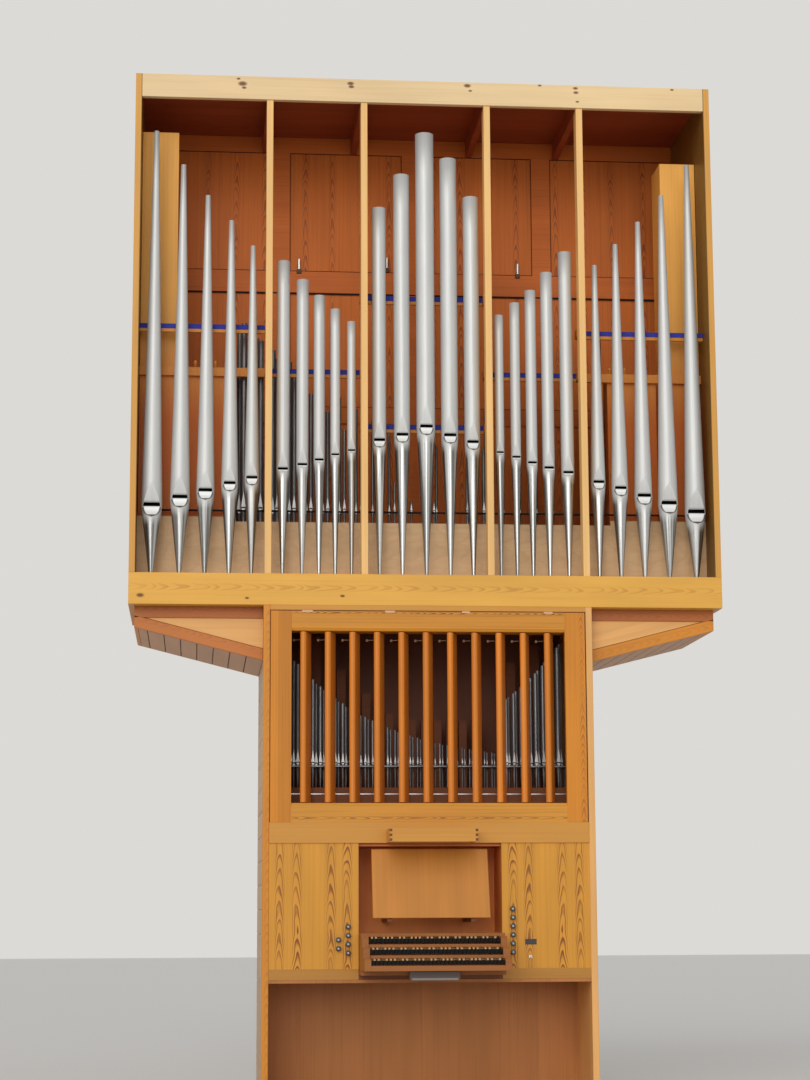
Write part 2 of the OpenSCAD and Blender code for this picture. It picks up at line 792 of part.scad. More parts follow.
// Underside line of a bracket, from its outer end to the lower case
function bracket_low_z(x) = upper_z - bracket_low
    - (bracket_end_x - x) / (bracket_end_x - lower_half) * (bracket_high - bracket_low);

module bracket_outline() {
    polygon([
        [lower_half, upper_z], [bracket_end_x, upper_z], [bracket_end_x, bracket_low_z(bracket_end_x)],
        [lower_half, bracket_low_z(lower_half)]
    ]);
}

// Field of the triangular panel between the top and the sloping member
module bracket_field() {
    top = upper_z - bracket_top;
    rise = (bracket_high - bracket_low) / (bracket_end_x - lower_half);
    low = bracket_low_z(lower_half) + bracket_slope;
    polygon([[lower_half - EPS, top], [lower_half + (top - low) / rise, top], [lower_half - EPS, low]]);
}

// Hollow bracket: framed front with a sunk panel, end board and sloping soffit
module bracket() {
    b = bracket_board;
    translate([0, organ_depth, 0]) rotate([90, 0, 0]) difference() {
        linear_extrude(organ_depth - bracket_setback) bracket_outline();
        translate([0, 0, b]) linear_extrude(organ_depth - bracket_setback - 3 * b) polygon([
            [lower_half + b, upper_z - b], [bracket_end_x - b, upper_z - b],
            [bracket_end_x - b, bracket_low_z(bracket_end_x - b) + b],
            [lower_half + b, bracket_low_z(lower_half + b) + b]
        ]);
        translate([0, 0, organ_depth - bracket_setback - b / 2])
            linear_extrude(b) bracket_field();
    }
}

module brackets() { in_case() color(pine) both_sides() bracket(); }

// Sides of the lower case, from the floor up to the upper case
module lower_sides() {
    in_case() color(pine) both_sides()
        block(lower_in, lower_half, 0, organ_depth, 0, upper_z);
}

module lower_back() {
    in_case() color(pine)
        block(-lower_in, lower_in, organ_depth - lower_back_t, organ_depth, 0, upper_z);
}

module swell_stiles() {
    in_case() color(pine) both_sides()
        block(swell_half, lower_in, 0, swell_frame_t, swell_z, batten_z);
}

// Bores for the shutter pivots, opening towards the shutters
module pivot_bores(z) {
    for (i = [1 : SHUTTER_N]) translate([shutter_x(i), shutter_y, z])
        cylinder(r = pivot_r + pivot_play, h = pivot_depth);
}

// Section of the frame over the swell opening, with the board that carries the shutters
module swell_section(outer_z, inner_z, toward) {
    polygon([
        [0, outer_z], [0, inner_z + toward * swell_chamfer], [swell_chamfer / 2, inner_z],
        [carrier_d, inner_z], [carrier_d, inner_z + toward * carrier_t],
        [swell_frame_t, inner_z + toward * carrier_t], [swell_frame_t, outer_z]
    ]);
}

module swell_head() {
    in_case() color(pine) difference() {
        across(-swell_half, swell_half) swell_section(batten_z, swell_high, 1);
        pivot_bores(swell_high);
    }
}

module swell_sill() {
    in_case() color(pine) difference() {
        across(-swell_half, swell_half) swell_section(swell_z, swell_low, -1);
        pivot_bores(swell_low - pivot_depth);
    }
}

// Roof over the swell division, and the batten that closes it to the front
module swell_roof() {
    in_case() color(pine)
        block(-lower_in, lower_in, 0, organ_depth - lower_back_t, batten_z, upper_z);
}

// Section of a shutter: a board with round edges
module shutter_section() {
    r = shutter_t / 2;
    square([shutter_t, shutter_w - shutter_t], center = true);
    for (side = [-1, 1]) translate([0, side * (shutter_w / 2 - r)]) circle(r = r);
}

// Distance of a shutter's axis from the middle
function shutter_x(i) = (i - (SHUTTER_N + 1) / 2) * shutter_pitch;

// A swell shutter on its two pivot pins, turned to its open position
module shutter(i) {
    pin = pivot_depth - pivot_end_gap + shutter_gap;
    in_case() color(pine) translate([shutter_x(i), shutter_y, swell_low + shutter_gap])
        rotate([0, 0, -shutter_open]) union() {
            linear_extrude(shutter_h) shutter_section();
            translate([0, 0, -pin]) cylinder(r = pivot_r, h = pin + EPS);
            translate([0, 0, shutter_h - EPS]) cylinder(r = pivot_r, h = pin + EPS);
        }
}

// Wooden pipes behind the metal ones, as place and share of the longest; one row is lower
swell_wood = [
    [-0.72, 1], [-0.54, 0.79], [-0.363, 0.635], [-0.198, 0.505],
    [-0.035, 0.467], [0.055, 0.467], [0.145, 0.467], [0.235, 0.467], [0.325, 0.467], [0.415, 0.467],
    [0.67, 0.836], [0.84, 0.95]
];

// Swell chest on its floor, with the toe board and the wooden pipes
module swell_chest() {
    z = swell_z + swell_chest_h;
    half = swell_chest_half;
    y = swell_chest_y;
    s = swell_toe_setback;
    in_case() color(dark_pine) {
        block(-lower_in, lower_in, swell_frame_t, organ_depth - lower_back_t,
            swell_z - swell_floor_t, swell_z);
        block(-half, half, y, y + swell_chest_d, swell_z, z);
        block(-half, half, y + s, y + swell_chest_d - s, z, swell_toe);
        for (p = swell_wood) let (w = swell_wood_w * (0.6 + 0.4 * p[1]))
            block(p[0] * half - w / 2, p[0] * half + w / 2,
                y + swell_chest_d - s - 2 * w, y + swell_chest_d - s - w,
                swell_toe, swell_toe + swell_wood_l * p[1]);
    }
}

// Length of a swell pipe over its mouth: it doubles with each octave to the left of the split
function swell_l(x) = x < swell_split
    ? swell_short * pow(2, (swell_split - x) / swell_octave)
    : swell_right_l * pow(2, (x - swell_split) / swell_octave);

// Places of the swell pipes in two rows
swell_table = let (n = floor((swell_chest_half - swell_pitch) / swell_pitch))
    [for (row = [0, 1], i = [-n : n]) let (x = (i + row / 2) * swell_pitch)
        if (abs(x) < swell_chest_half - swell_pitch && abs(x - swell_split) > swell_pitch / 3)
            [x, swell_chest_y + swell_row_y + row * swell_row_step, swell_l(x),
                swell_d * sqrt(swell_l(x) / swell_short)]];

// Metal pipes of the swell in their rack, which stands on posts
module swell_pipes() {
    mouth_z = swell_rack + 2 * swell_rack_t;
    end = swell_chest_half - swell_toe_setback;
    front = swell_chest_y + swell_row_y - swell_rack_edge;
    back = front + swell_row_step + 2 * swell_rack_edge;
    inset = 2 * post_r;
    in_case() color(tin) {
        difference() {
            union() {
                block(-end, end, front, back, swell_rack - swell_rack_t, swell_rack);
                for (x = [inset - end, end - inset], y = [front + inset, back - inset])
                    translate([x, y, swell_toe])
                        cylinder(r = post_r, h = swell_rack_z - swell_rack_t + EPS);
            }
            for (p = swell_table)
                rack_hole(p[0], p[1], swell_toe, mouth_z, p[3], swell_rack - swell_rack_t, swell_rack_t);
        }
        for (p = swell_table) small_pipe(p[0], p[1], swell_toe, mouth_z, p[2], p[3]);
    }
}

// Lamp box of boards, open at the bottom
module lamp_box() {
    z = mid_rail_z;
    b = lamp_board;
    in_case() color(pine) difference() {
        block(-lamp_half, lamp_half, -lamp_out, -mid_rail_out, z, z + lamp_h);
        block(b - lamp_half, lamp_half - b, b - lamp_out, EPS - mid_rail_out, z - 1, z + lamp_h - b);
    }
}

// Places of the stop knobs, as distance from the middle and height
knob_places = concat(
    [for (i = [0 : 3]) [-knob_x, knob_z + i * knob_pitch]],
    [for (i = [0 : 1]) [-knob_outer_x, knob_z + (i + 0.5) * knob_pitch]],
    [for (i = [0 : 5]) [knob_x, knob_z + i * knob_pitch]]
);

module console_panels() {
    in_case() color(panel_pine) difference() {
        both_sides() block(niche_half, lower_in, console_setback, console_setback + console_t,
            console_z + console_rail_h, mid_rail_z);
        for (at = knob_places) translate([at[0], 0, at[1]]) rotate([-90, 0, 0])
            cylinder(r = rod_bore_r, h = 2 * (console_setback + console_t));
    }
}

// Rail under the swell front, and the low rails beside the knee space
module console_rails() {
    in_case() color(pine) {
        block(-lower_in, lower_in, -mid_rail_out, mid_rail_t - mid_rail_out, mid_rail_z, mid_rail_top);
        both_sides() block(niche_half, lower_in, console_setback - low_rail_out,
            console_setback + console_t, console_z, console_z + console_rail_h);
    }
}

// Boards that line the niche behind the music desk
module console_niche() {
    b = niche_board;
    y0 = console_setback + console_t;
    in_case() color(dark_pine) difference() {
        block(-niche_half - b, niche_half + b, y0, y0 + niche_d, slip_z, mid_rail_z);
        block(-niche_half, niche_half, y0 - 1, y0 + niche_d - b, slip_z - 1, mid_rail_z - b);
    }
}

// Leaning board on two arms from the back of the niche
module music_desk() {
    y_back = console_setback + console_t + niche_d - niche_board;
    in_case() color(plywood) {
        across(-desk_w / 2, desk_w / 2) polygon([
            [-desk_out, desk_z], [desk_lean - desk_out, desk_z + desk_h],
            [desk_lean - desk_out + desk_t, desk_z + desk_h], [desk_t - desk_out, desk_z]
        ]);
        both_sides() block(desk_arm_x, desk_arm_x + desk_arm_w, desk_t - desk_out - EPS, y_back,
            desk_z - desk_arm_h, desk_z + EPS);
    }
}

// Stepped outline of the cheeks beside the keys
module cheek_outline() {
    foot = slip_z - EPS;
    polygon(concat(
        [[-manual_out - cheek_lead, foot]],
        [for (m = [0 : manual_n - 1], corner = [0 : 2])
            let (y = -manual_out + m * manual_step - cheek_lead,
                top = manual_z + m * manual_rise + sharp_h + key_play,
                low = m == 0 ? foot : top - manual_rise)
            corner == 0 ? [y, low]
                : corner == 1 ? [y, top - cheek_bevel] : [y + cheek_bevel, top]],
        [[cheek_back, ledge_z], [cheek_back, foot]]
    ));
}

// Cheeks, slip, ledge and bed that hold the keyboards
module key_frame() {
    y_back = console_setback + console_t + niche_d;
    outer = cheek_x + cheek_w;
    inner = cheek_x + EPS;
    slip_y = -manual_out - cheek_lead + 2;
    top_back = -manual_out + (manual_n - 1) * manual_step + key_l;
    in_case() color(pine) union() {
        both_sides() across(cheek_x, outer) cheek_outline();
        block(-inner, inner, slip_y, slip_y + slip_t, slip_z - EPS, slip_z + slip_h);
        block(-outer, outer, top_back - sharp_back - key_bar - EPS, cheek_back,
            ledge_z - EPS, ledge_z + ledge_t);
        block(-outer, outer, -keybed_out, y_back, slip_z - keybed_t, slip_z);
        for (m = [0 : manual_n - 1]) let (
            y = -manual_out + m * manual_step + key_l, z = manual_z + m * manual_rise - natural_t)
            block(-inner, inner, y - key_rail_d, y, z - key_rail_h, z);
        for (m = [1 : manual_n - 1]) let (
            y = -manual_out + m * manual_step + 2, z = manual_z + m * manual_rise)
            block(-inner, inner, y, y + key_strip_t, z - manual_rise + sharp_h + key_play,
                z - natural_t - key_dip);
    }
}

// One manual's naturals, joined at the back by their bar
module naturals() {
    in_case() color(ebony) for (m = [0 : manual_n - 1])
        translate([-naturals_w / 2, -manual_out + m * manual_step,
            manual_z + m * manual_rise - natural_t]) difference() {
            cube([naturals_w, key_l, natural_t]);
            for (i = [1 : natural_n - 1]) translate([i * key_pitch - key_gap / 2, -1, -1])
                cube([key_gap, key_l - key_bar + 1, natural_t + 2]);
        }
}

// Whether a sharp follows the natural with this number
function has_sharp(i) = i % 7 != 2 && i % 7 != 6;

// The sharps of each manual, joined by a bar over that of the naturals
module sharps() {
    y = key_l - key_bar;
    in_case() color(bone) for (m = [0 : manual_n - 1])
        translate([-naturals_w / 2, -manual_out + m * manual_step, manual_z + m * manual_rise]) union() {
            translate([0, y, 0]) cube([naturals_w, key_bar / 2, sharp_h]);
            for (i = [0 : natural_n - 2]) if (has_sharp(i))
                translate([(i + 1) * key_pitch - sharp_w / 2, sharp_back, 0])
                    cube([sharp_w, y - sharp_back + EPS, sharp_h]);
        }
}

module pedal_lamp() {
    top = slip_z - pedal_lamp_gap;
    in_case() color(steel)
        block(-pedal_lamp_w / 2, pedal_lamp_w / 2, -keybed_out - pedal_lamp_d, -keybed_out,
            top - pedal_lamp_h, top);
}

// Back and top of the knee space
module knee_panels() {
    in_case() color(dark_pine) {
        block(-lower_in, lower_in, knee_d, knee_d + knee_t, 0, console_z);
        block(-lower_in, lower_in, console_setback, knee_d, console_z - knee_t, console_z);
    }
}

// Frame with its natural and sharp pedals, pushed back to the knee panel
module pedalboard() {
    half = pedal_n * pedal_pitch / 2;
    t = pedal_frame_t;
    low = pedal_z - pedal_h;
    y0 = t - pedal_out - EPS;
    y1 = knee_d - t + EPS;
    in_case() color(pine) union() {
        both_sides() block(half, half + t, -pedal_out, knee_d, 0, pedal_z);
        block(-half - EPS, half + EPS, -pedal_out, t - pedal_out, 0, pedal_z - pedal_front_drop);
        block(-half - EPS, half + EPS, knee_d - t, knee_d, 0, pedal_z);
        for (i = [0 : pedal_n - 1]) translate([(i + 0.5) * pedal_pitch - half - pedal_w / 2, 0, 0]) {
            block(0, pedal_w, y0, y1, low, pedal_z);
            if (i < pedal_n - 1 && has_sharp(i)) translate([pedal_pitch / 2, 0, 0])
                block(0, pedal_w, pedal_sharp_y - pedal_out, y1, low, pedal_z + pedal_sharp_h);
        }
    }
}

// A turned knob on its rod, pushed in
module knob(i) {
    at = knob_places[i - 1];
    in_case() color(ebony) translate([at[0], knob_rest_y, at[1]]) rotate([-90, 0, 0]) {
        translate([0, 0, -knob_t]) cylinder(d = knob_d, h = knob_t);
        cylinder(r = rod_r, h = knob_gap + console_t + rod_tail);
    }
}

case_sides();
case_roof();
roof_beams();
top_rail();
bottom_rail();
case_floor();
mullions();
back_frame();
back_panels();
wind_chest();
pipe_rails();
tapered_pipes();
straight_pipes();
middle_pipes();
inner_pipes();
pedal_pipes();
brackets();
lower_sides();
lower_back();
swell_stiles();
swell_head();
swell_sill();
swell_roof();
swell_chest();
swell_pipes();
lamp_box();
console_rails();
console_panels();
console_niche();
music_desk();
key_frame();
naturals();
sharps();
pedal_lamp();
knee_panels();
pedalboard();
shutter(1);  // shutter_1
shutter(2);  // shutter_2
shutter(3);  // shutter_3
shutter(4);  // shutter_4
shutter(5);  // shutter_5
shutter(6);  // shutter_6
shutter(7);  // shutter_7
shutter(8);  // shutter_8
shutter(9);  // shutter_9
shutter(10);  // shutter_10
shutter(11);  // shutter_11
knob(1);  // knob_1
knob(2);  // knob_2
knob(3);  // knob_3
knob(4);  // knob_4
knob(5);  // knob_5
knob(6);  // knob_6
knob(7);  // knob_7
knob(8);  // knob_8
knob(9);  // knob_9
knob(10);  // knob_10
knob(11);  // knob_11
knob(12);  // knob_12
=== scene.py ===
"""Dresses a built-in pipe organ: pine cases, tin display pipes, swell front and console."""

import itertools
import math

import bpy
import numpy as np
from bpy.props import FloatProperty, FloatVectorProperty
from mathutils import Matrix, Vector


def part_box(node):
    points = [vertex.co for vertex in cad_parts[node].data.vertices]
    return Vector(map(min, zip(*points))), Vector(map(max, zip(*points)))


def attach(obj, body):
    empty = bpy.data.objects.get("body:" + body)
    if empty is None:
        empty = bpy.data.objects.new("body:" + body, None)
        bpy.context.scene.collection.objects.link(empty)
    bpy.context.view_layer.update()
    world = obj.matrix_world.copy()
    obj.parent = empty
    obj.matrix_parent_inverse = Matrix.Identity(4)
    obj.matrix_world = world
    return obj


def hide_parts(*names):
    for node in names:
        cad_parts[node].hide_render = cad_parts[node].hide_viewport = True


bl_info = {
    "name": "Pipe organ",
    "version": (1, 0, 0),
    "blender": (4, 5, 0),
    "location": "View3D > Sidebar > Organ",
    "description": "Builds the finished look of a built-in pipe organ round its solid model",
    "category": "Object",
}

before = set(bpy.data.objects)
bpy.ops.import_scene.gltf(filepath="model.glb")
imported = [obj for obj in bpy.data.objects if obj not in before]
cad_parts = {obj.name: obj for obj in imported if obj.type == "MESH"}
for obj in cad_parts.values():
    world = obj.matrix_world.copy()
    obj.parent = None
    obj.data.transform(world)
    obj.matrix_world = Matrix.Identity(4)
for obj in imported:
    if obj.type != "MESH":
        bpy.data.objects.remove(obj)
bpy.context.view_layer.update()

CASE = "case"
SHUTTERS = 11
KNOBS = 12
SEED = 7


def low(node):
    """Lowest corner of a node's box."""
    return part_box(node)[0]


def high(node):
    """Highest corner of a node's box."""
    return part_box(node)[1]


# Places that several pieces share, read from the solid model
FRONT = low("top_rail")[1]
BACK = high("case_sides")[1]
UPPER_IN = high("case_roof")[0]
LOWER_HALF = high("lower_sides")[0]
LOWER_IN = high("swell_stiles")[0]
UNDERSIDE = low("bottom_rail")[2]
TOE_Z = low("tapered_pipes")[2]


def linear(code):
    """The linear colour of an sRGB hex code."""
    parts = [int(code[i:i + 2], 16) / 255 for i in (1, 3, 5)]
    return (*(c / 12.92 if c <= 0.04045 else ((c + 0.055) / 1.055) ** 2.4 for c in parts), 1.0)


# Settings of the nodes that ease in and out, that mix two colours and that multiply them
SMOOTH = dict(interpolation_type="SMOOTHSTEP")
MIX = dict(out=2, data_type="RGBA")
TINT = dict(MIX, blend_type="MULTIPLY")


def add(tree, kind, values=(), out=0, **settings):
    """Adds a shader node, sets or links its inputs, and returns one of its outputs.

    A second word in kind is the operation of the node.
    """
    kind, _, operation = kind.partition(" ")
    n = tree.nodes.new("ShaderNode" + kind)
    if operation:
        n.operation = operation
    for key, value in settings.items():
        setattr(n, key, value)
    for key, value in values.items() if isinstance(values, dict) else enumerate(values):
        if isinstance(value, bpy.types.NodeSocket):
            tree.links.new(value, n.inputs[key])
        else:
            n.inputs[key].default_value = value
    return n.outputs[out] if n.outputs else None


def shader_of(name, roughness, metallic=0.0, coat=0.0, specular=0.5):
    """A new material with its node tree and its Principled shader."""
    m = bpy.data.materials.new(name)
    m.use_nodes = True
    shader = m.node_tree.nodes["Principled BSDF"]
    for socket, value in (("Metallic", metallic), ("Roughness", roughness), ("Coat Weight", coat),
                          ("Coat Roughness", 0.3), ("Specular IOR Level", specular)):
        shader.inputs[socket].default_value = value
    return m, m.node_tree, shader


def finish(tree, shader, colour, roughness, height, depth):
    """Links colour, roughness and a relief of the given depth in metres to the shader."""
    normal = add(tree, "Bump", {"Height": height, "Distance": depth, "Strength": 0.5})
    for socket, value in (("Base Color", colour), ("Roughness", roughness), ("Normal", normal)):
        tree.links.new(value, shader.inputs[socket])


# Coordinates along the grain, across it and into the board, by the way of the grain
GRAIN_AXES = {"x": (0, 2, 1), "z": (2, 0, 1), "flat": (0, 1, 2), "uv": (0, 1, 2)}


def wood(name, light, dark, grain, hearts=(), heart_w=0.024, period=0.06, arch=1.1, flame=0.8,
         lines=0.3, knots=(), bands=(), plank=0.0, mirrored=False, gloss=0.42, tone=0.08,
         fade=None):
    """Pine sawn along the log and varnished satin.

    Faint lines follow the grain, one every 13 mm, about three times as coarse as real ones, so
    that they show in the render. Along a heart line the saw has met the rings almost flat, so they
    show there as stacked arches: the number of a ring is the place along the grain over its period
    plus the squared distance from the heart line, and its fraction is dark where the late wood
    ends. A plank has a shade of its own. A band is a strip along the grain, by its middle, half
    width and shade, such as a darker board, or painted shade where a face lies in the dark.
    fade is two levels and the colour that multiplies the wood, in full from the first level
    outwards: painted shade under the ceiling of the niche and at the feet of the wooden pipes.
    """
    m, t, shader = shader_of(name, gloss, coat=0.05, specular=0.28)
    at = add(t, "TexCoord", out="UV" if grain == "uv" else "Object")
    split = add(t, "SeparateXYZ", (at,)).node.outputs
    along, across, deep = (split[i] for i in GRAIN_AXES[grain])
    if mirrored:
        across = add(t, "Math ABSOLUTE", (across,))
    if plank:
        row = add(t, "Math DIVIDE", (across, plank))
        row = add(t, "Math FLOOR", (row,))
        chance = add(t, "TexWhiteNoise", {"W": row}, noise_dimensions="1D")
        centre = add(t, "Math MULTIPLY_ADD", (row, plank, plank / 2))
        across = add(t, "Math SUBTRACT", (across, centre))
        along = add(t, "Math MULTIPLY_ADD", (chance, 9.0, along))
    broad = add(t, "CombineXYZ", (along, across, deep))
    slow = add(t, "VectorMath MULTIPLY", (broad, (1.1, 7.0, 7.0)))
    patch = add(t, "TexNoise", {"Vector": slow, "Scale": 1.0, "Detail": 2.0})
    thin = add(t, "VectorMath MULTIPLY", (broad, (0.9, 75.0, 75.0)))
    line = add(t, "TexNoise", {"Vector": thin, "Scale": 1.0, "Detail": 3.0, "Roughness": 0.6})
    late = add(t, "MapRange", (line, 0.48, 0.72, 0.0, lines))
    for centre in hearts:
        warp = add(t, "VectorMath MULTIPLY", (broad, (5.0, 9.0, 9.0)))
        warp = add(t, "VectorMath ADD", (warp, (centre * 31, 0, 0)))
        warp = add(t, "TexNoise", {"Vector": warp, "Scale": 1.0, "Detail": 2.0})
        sway = add(t, "Math MULTIPLY_ADD", (warp, heart_w * 0.7, -heart_w * 0.35 - centre))
        off = add(t, "Math ADD", (across, sway))
        off = add(t, "Math DIVIDE", (off, heart_w))
        off = add(t, "Math MULTIPLY", (off, off))
        ring = add(t, "Math MULTIPLY_ADD", (along, 1 / period, centre * 17))
        ring = add(t, "Math MULTIPLY_ADD", (off, arch, ring))
        ring = add(t, "Math MULTIPLY_ADD", (warp, 3.4, ring))
        ring = add(t, "Math FRACT", (ring,))
        figure = add(t, "Math MULTIPLY", (
            add(t, "MapRange", (ring, 0.35, 0.85), **SMOOTH),
            add(t, "MapRange", (ring, 0.9, 1.0, 1.0, 0.0), **SMOOTH)))
        inside = add(t, "MapRange", (off, 0.25, 1.3, flame, 0.0), **SMOOTH)
        strong = add(t, "MapRange", (warp, 0.35, 0.55, 0.5, 1.0))
        for factor in (inside, strong):
            figure = add(t, "Math MULTIPLY", (figure, factor))
        late = add(t, "Math MAXIMUM", (late, figure))
    colour = add(t, "Mix", {0: late, 6: light, 7: dark}, **MIX)
    shade = add(t, "MapRange", (patch, 0.3, 0.7, 1 - tone, 1 + tone))
    if plank:
        stain = add(t, "MapRange", (chance, 0.0, 1.0, 0.92, 1.06))
        shade = add(t, "Math MULTIPLY", (shade, stain))
    for centre, half, factor in bands:
        off = add(t, "Math SUBTRACT", (across, centre))
        off = add(t, "Math ABSOLUTE", (off,))
        off = add(t, "MapRange", (off, half, half + 0.002, factor, 1.0))
        shade = add(t, "Math MULTIPLY", (shade, off))
    shade = add(t, "CombineColor", (shade, shade, shade))
    colour = add(t, "Mix", {0: 1.0, 6: colour, 7: shade}, **TINT)
    if fade:
        start, end, veil = fade
        part = add(t, "MapRange", (split[2], start, end, 1.0, 0.0))
        colour = add(t, "Mix", {0: part, 6: colour, 7: linear(veil)}, **TINT)
    for a, c, radius in knots:
        off = add(t, "VectorMath SUBTRACT", (broad, (a, c, 0.0)))
        off = add(t, "VectorMath MULTIPLY", (off, (0.55, 1.0, 0.0)))
        far = add(t, "VectorMath LENGTH", (off,), "Value")
        far = add(t, "Math MULTIPLY_ADD", (patch, radius * 0.8, far))
        mask = add(t, "MapRange", (far, radius * 0.8, radius * 1.5, 0.9, 0.0), **SMOOTH)
        colour = add(t, "Mix", {0: mask, 6: colour, 7: linear("#5E2C12")}, **MIX)
    rough = add(t, "MapRange", (late, 0.0, 1.0, gloss + 0.04, gloss - 0.08))
    finish(t, shader, colour, rough, line, 0.0004)
    return m


def tin(name, colour, dark, roughness, streak, skin=False):
    """Pipe metal, an alloy of tin and lead cast in sheets and planed: pale grey and satin.

    Faint marks of the plane run lengthwise, one every 6 mm, coarser than real ones so that they
    show. On the display pipes an attribute named form paints shade into the creases of the lips
    (red), paints a highlight on the lower lips (blue), and makes the polished feet (green) mirror
    more, with deeper marks and dark bars painted as reflections of a dim room.
    """
    m, t, shader = shader_of(name, roughness, metallic=0.6)
    at = add(t, "TexCoord", out="UV" if skin else "Object")
    fine = add(t, "VectorMath MULTIPLY", (at, (170.0, 0.5, 1.0) if skin else (170.0, 170.0, 0.5)))
    marks = add(t, "TexNoise", {"Vector": fine, "Scale": 1.0, "Detail": 3.0, "Roughness": 0.6})
    wide = add(t, "VectorMath MULTIPLY", (at, (22.0, 2.5, 1.0) if skin else (22.0, 22.0, 2.5)))
    cloud = add(t, "TexNoise", {"Vector": wide, "Scale": 1.0, "Detail": 2.0})
    deep = add(t, "MapRange", (marks, 0.38, 0.62, 0.0, streak), **SMOOTH)
    if skin:
        form = add(t, "VertexColor", layer_name="form")
        crease_shade, foot, lip = add(t, "SeparateColor", (form,)).node.outputs
        more = add(t, "Math MULTIPLY_ADD", (foot, 2.4, 1.0))
        deep = add(t, "Math MULTIPLY", (deep, more))
        t.links.new(add(t, "MapRange", (foot, 0.0, 1.0, 0.35, 0.95)), shader.inputs["Metallic"])
    tint = add(t, "Mix", {0: deep, 6: colour, 7: dark}, **MIX)
    soft = add(t, "MapRange", (cloud, 0.35, 0.7, 0.0, 0.25), **SMOOTH)
    tint = add(t, "Mix", {0: soft, 6: tint, 7: linear("#B4B6B6")}, **MIX)
    rough = add(t, "MapRange", (marks, 0.2, 0.8, roughness - 0.07, roughness + 0.09))
    if skin:
        # Dark bars painted as reflections of a dim room on the feet, a painted highlight on the
        # lower lips and painted shade in their creases
        room_reflection = add(t, "VectorMath MULTIPLY", (at, (42.0, 0.8, 1.0)))
        room_reflection = add(t, "TexNoise", {"Vector": room_reflection, "Scale": 1.0, "Detail": 1.0})
        room_reflection = add(t, "MapRange", (room_reflection, 0.45, 0.60, 0.0, 0.75), **SMOOTH)
        room_reflection = add(t, "Math MULTIPLY", (room_reflection, foot))
        for part, code in ((room_reflection, "#5C5A58"), (lip, "#E0E0DE"), (crease_shade, "#2C2A28")):
            tint = add(t, "Mix", {0: part, 6: tint, 7: linear(code)}, **MIX)
        rough = add(t, "Math MULTIPLY_ADD", (foot, -0.2, rough))
    finish(t, shader, tint, rough, marks, 0.00015)
    return m


def even(name, colour, roughness, metallic=0.0, mottle=0.06, scale=90.0, relief=0.0002, coat=0.0,
         specular=0.5):
    """A finish without figure, such as lacquer, bone, felt or steel, with slight unevenness.

    scale is the number of its spots to the metre: they are 11 mm apart unless a finish says so.
    """
    m, t, shader = shader_of(name, roughness, metallic, coat, specular)
    at = add(t, "TexCoord", out="Object")
    n = add(t, "TexNoise", {"Vector": at, "Scale": scale, "Detail": 3.0})
    shade = add(t, "MapRange", (n, 0.3, 0.7, 1.0 - mottle, 1.0 + mottle))
    shade = add(t, "CombineColor", (shade, shade, shade))
    tint = add(t, "Mix", {0: 1.0, 6: colour, 7: shade}, **TINT)
    rough = add(t, "MapRange", (n, 0.2, 0.8, roughness - 0.05, roughness + 0.07))
    finish(t, shader, tint, rough, n, relief)
    return m


# Knots by place along the board, level and radius, and arches by their distance from the middle
TOP_KNOTS = ((-1.155, 6.290, 0.019), (-1.145, 6.264, 0.010), (-1.18, 6.322, 0.008),
             (-0.475, 6.311, 0.013), (-0.470, 6.290, 0.011), (0.266, 6.318, 0.016),
             (0.285, 6.285, 0.008), (0.730, 6.333, 0.009), (0.959, 6.321, 0.013),
             (0.962, 6.293, 0.014), (0.970, 6.232, 0.009), (1.583, 6.329, 0.009))
LOW_KNOTS = ((-1.748, 3.042, 0.016), (-1.105, 3.029, 0.009), (-0.526, 3.046, 0.010))
PANEL_HEARTS = (0.497, 0.593, 0.797, 0.900)
BACK_HEARTS = (0.15, 0.33, 0.53, 0.71, 0.98, 1.17, 1.36, 1.58)
ONE_HEART = dict(hearts=(0.0,), heart_w=0.020, flame=0.4)

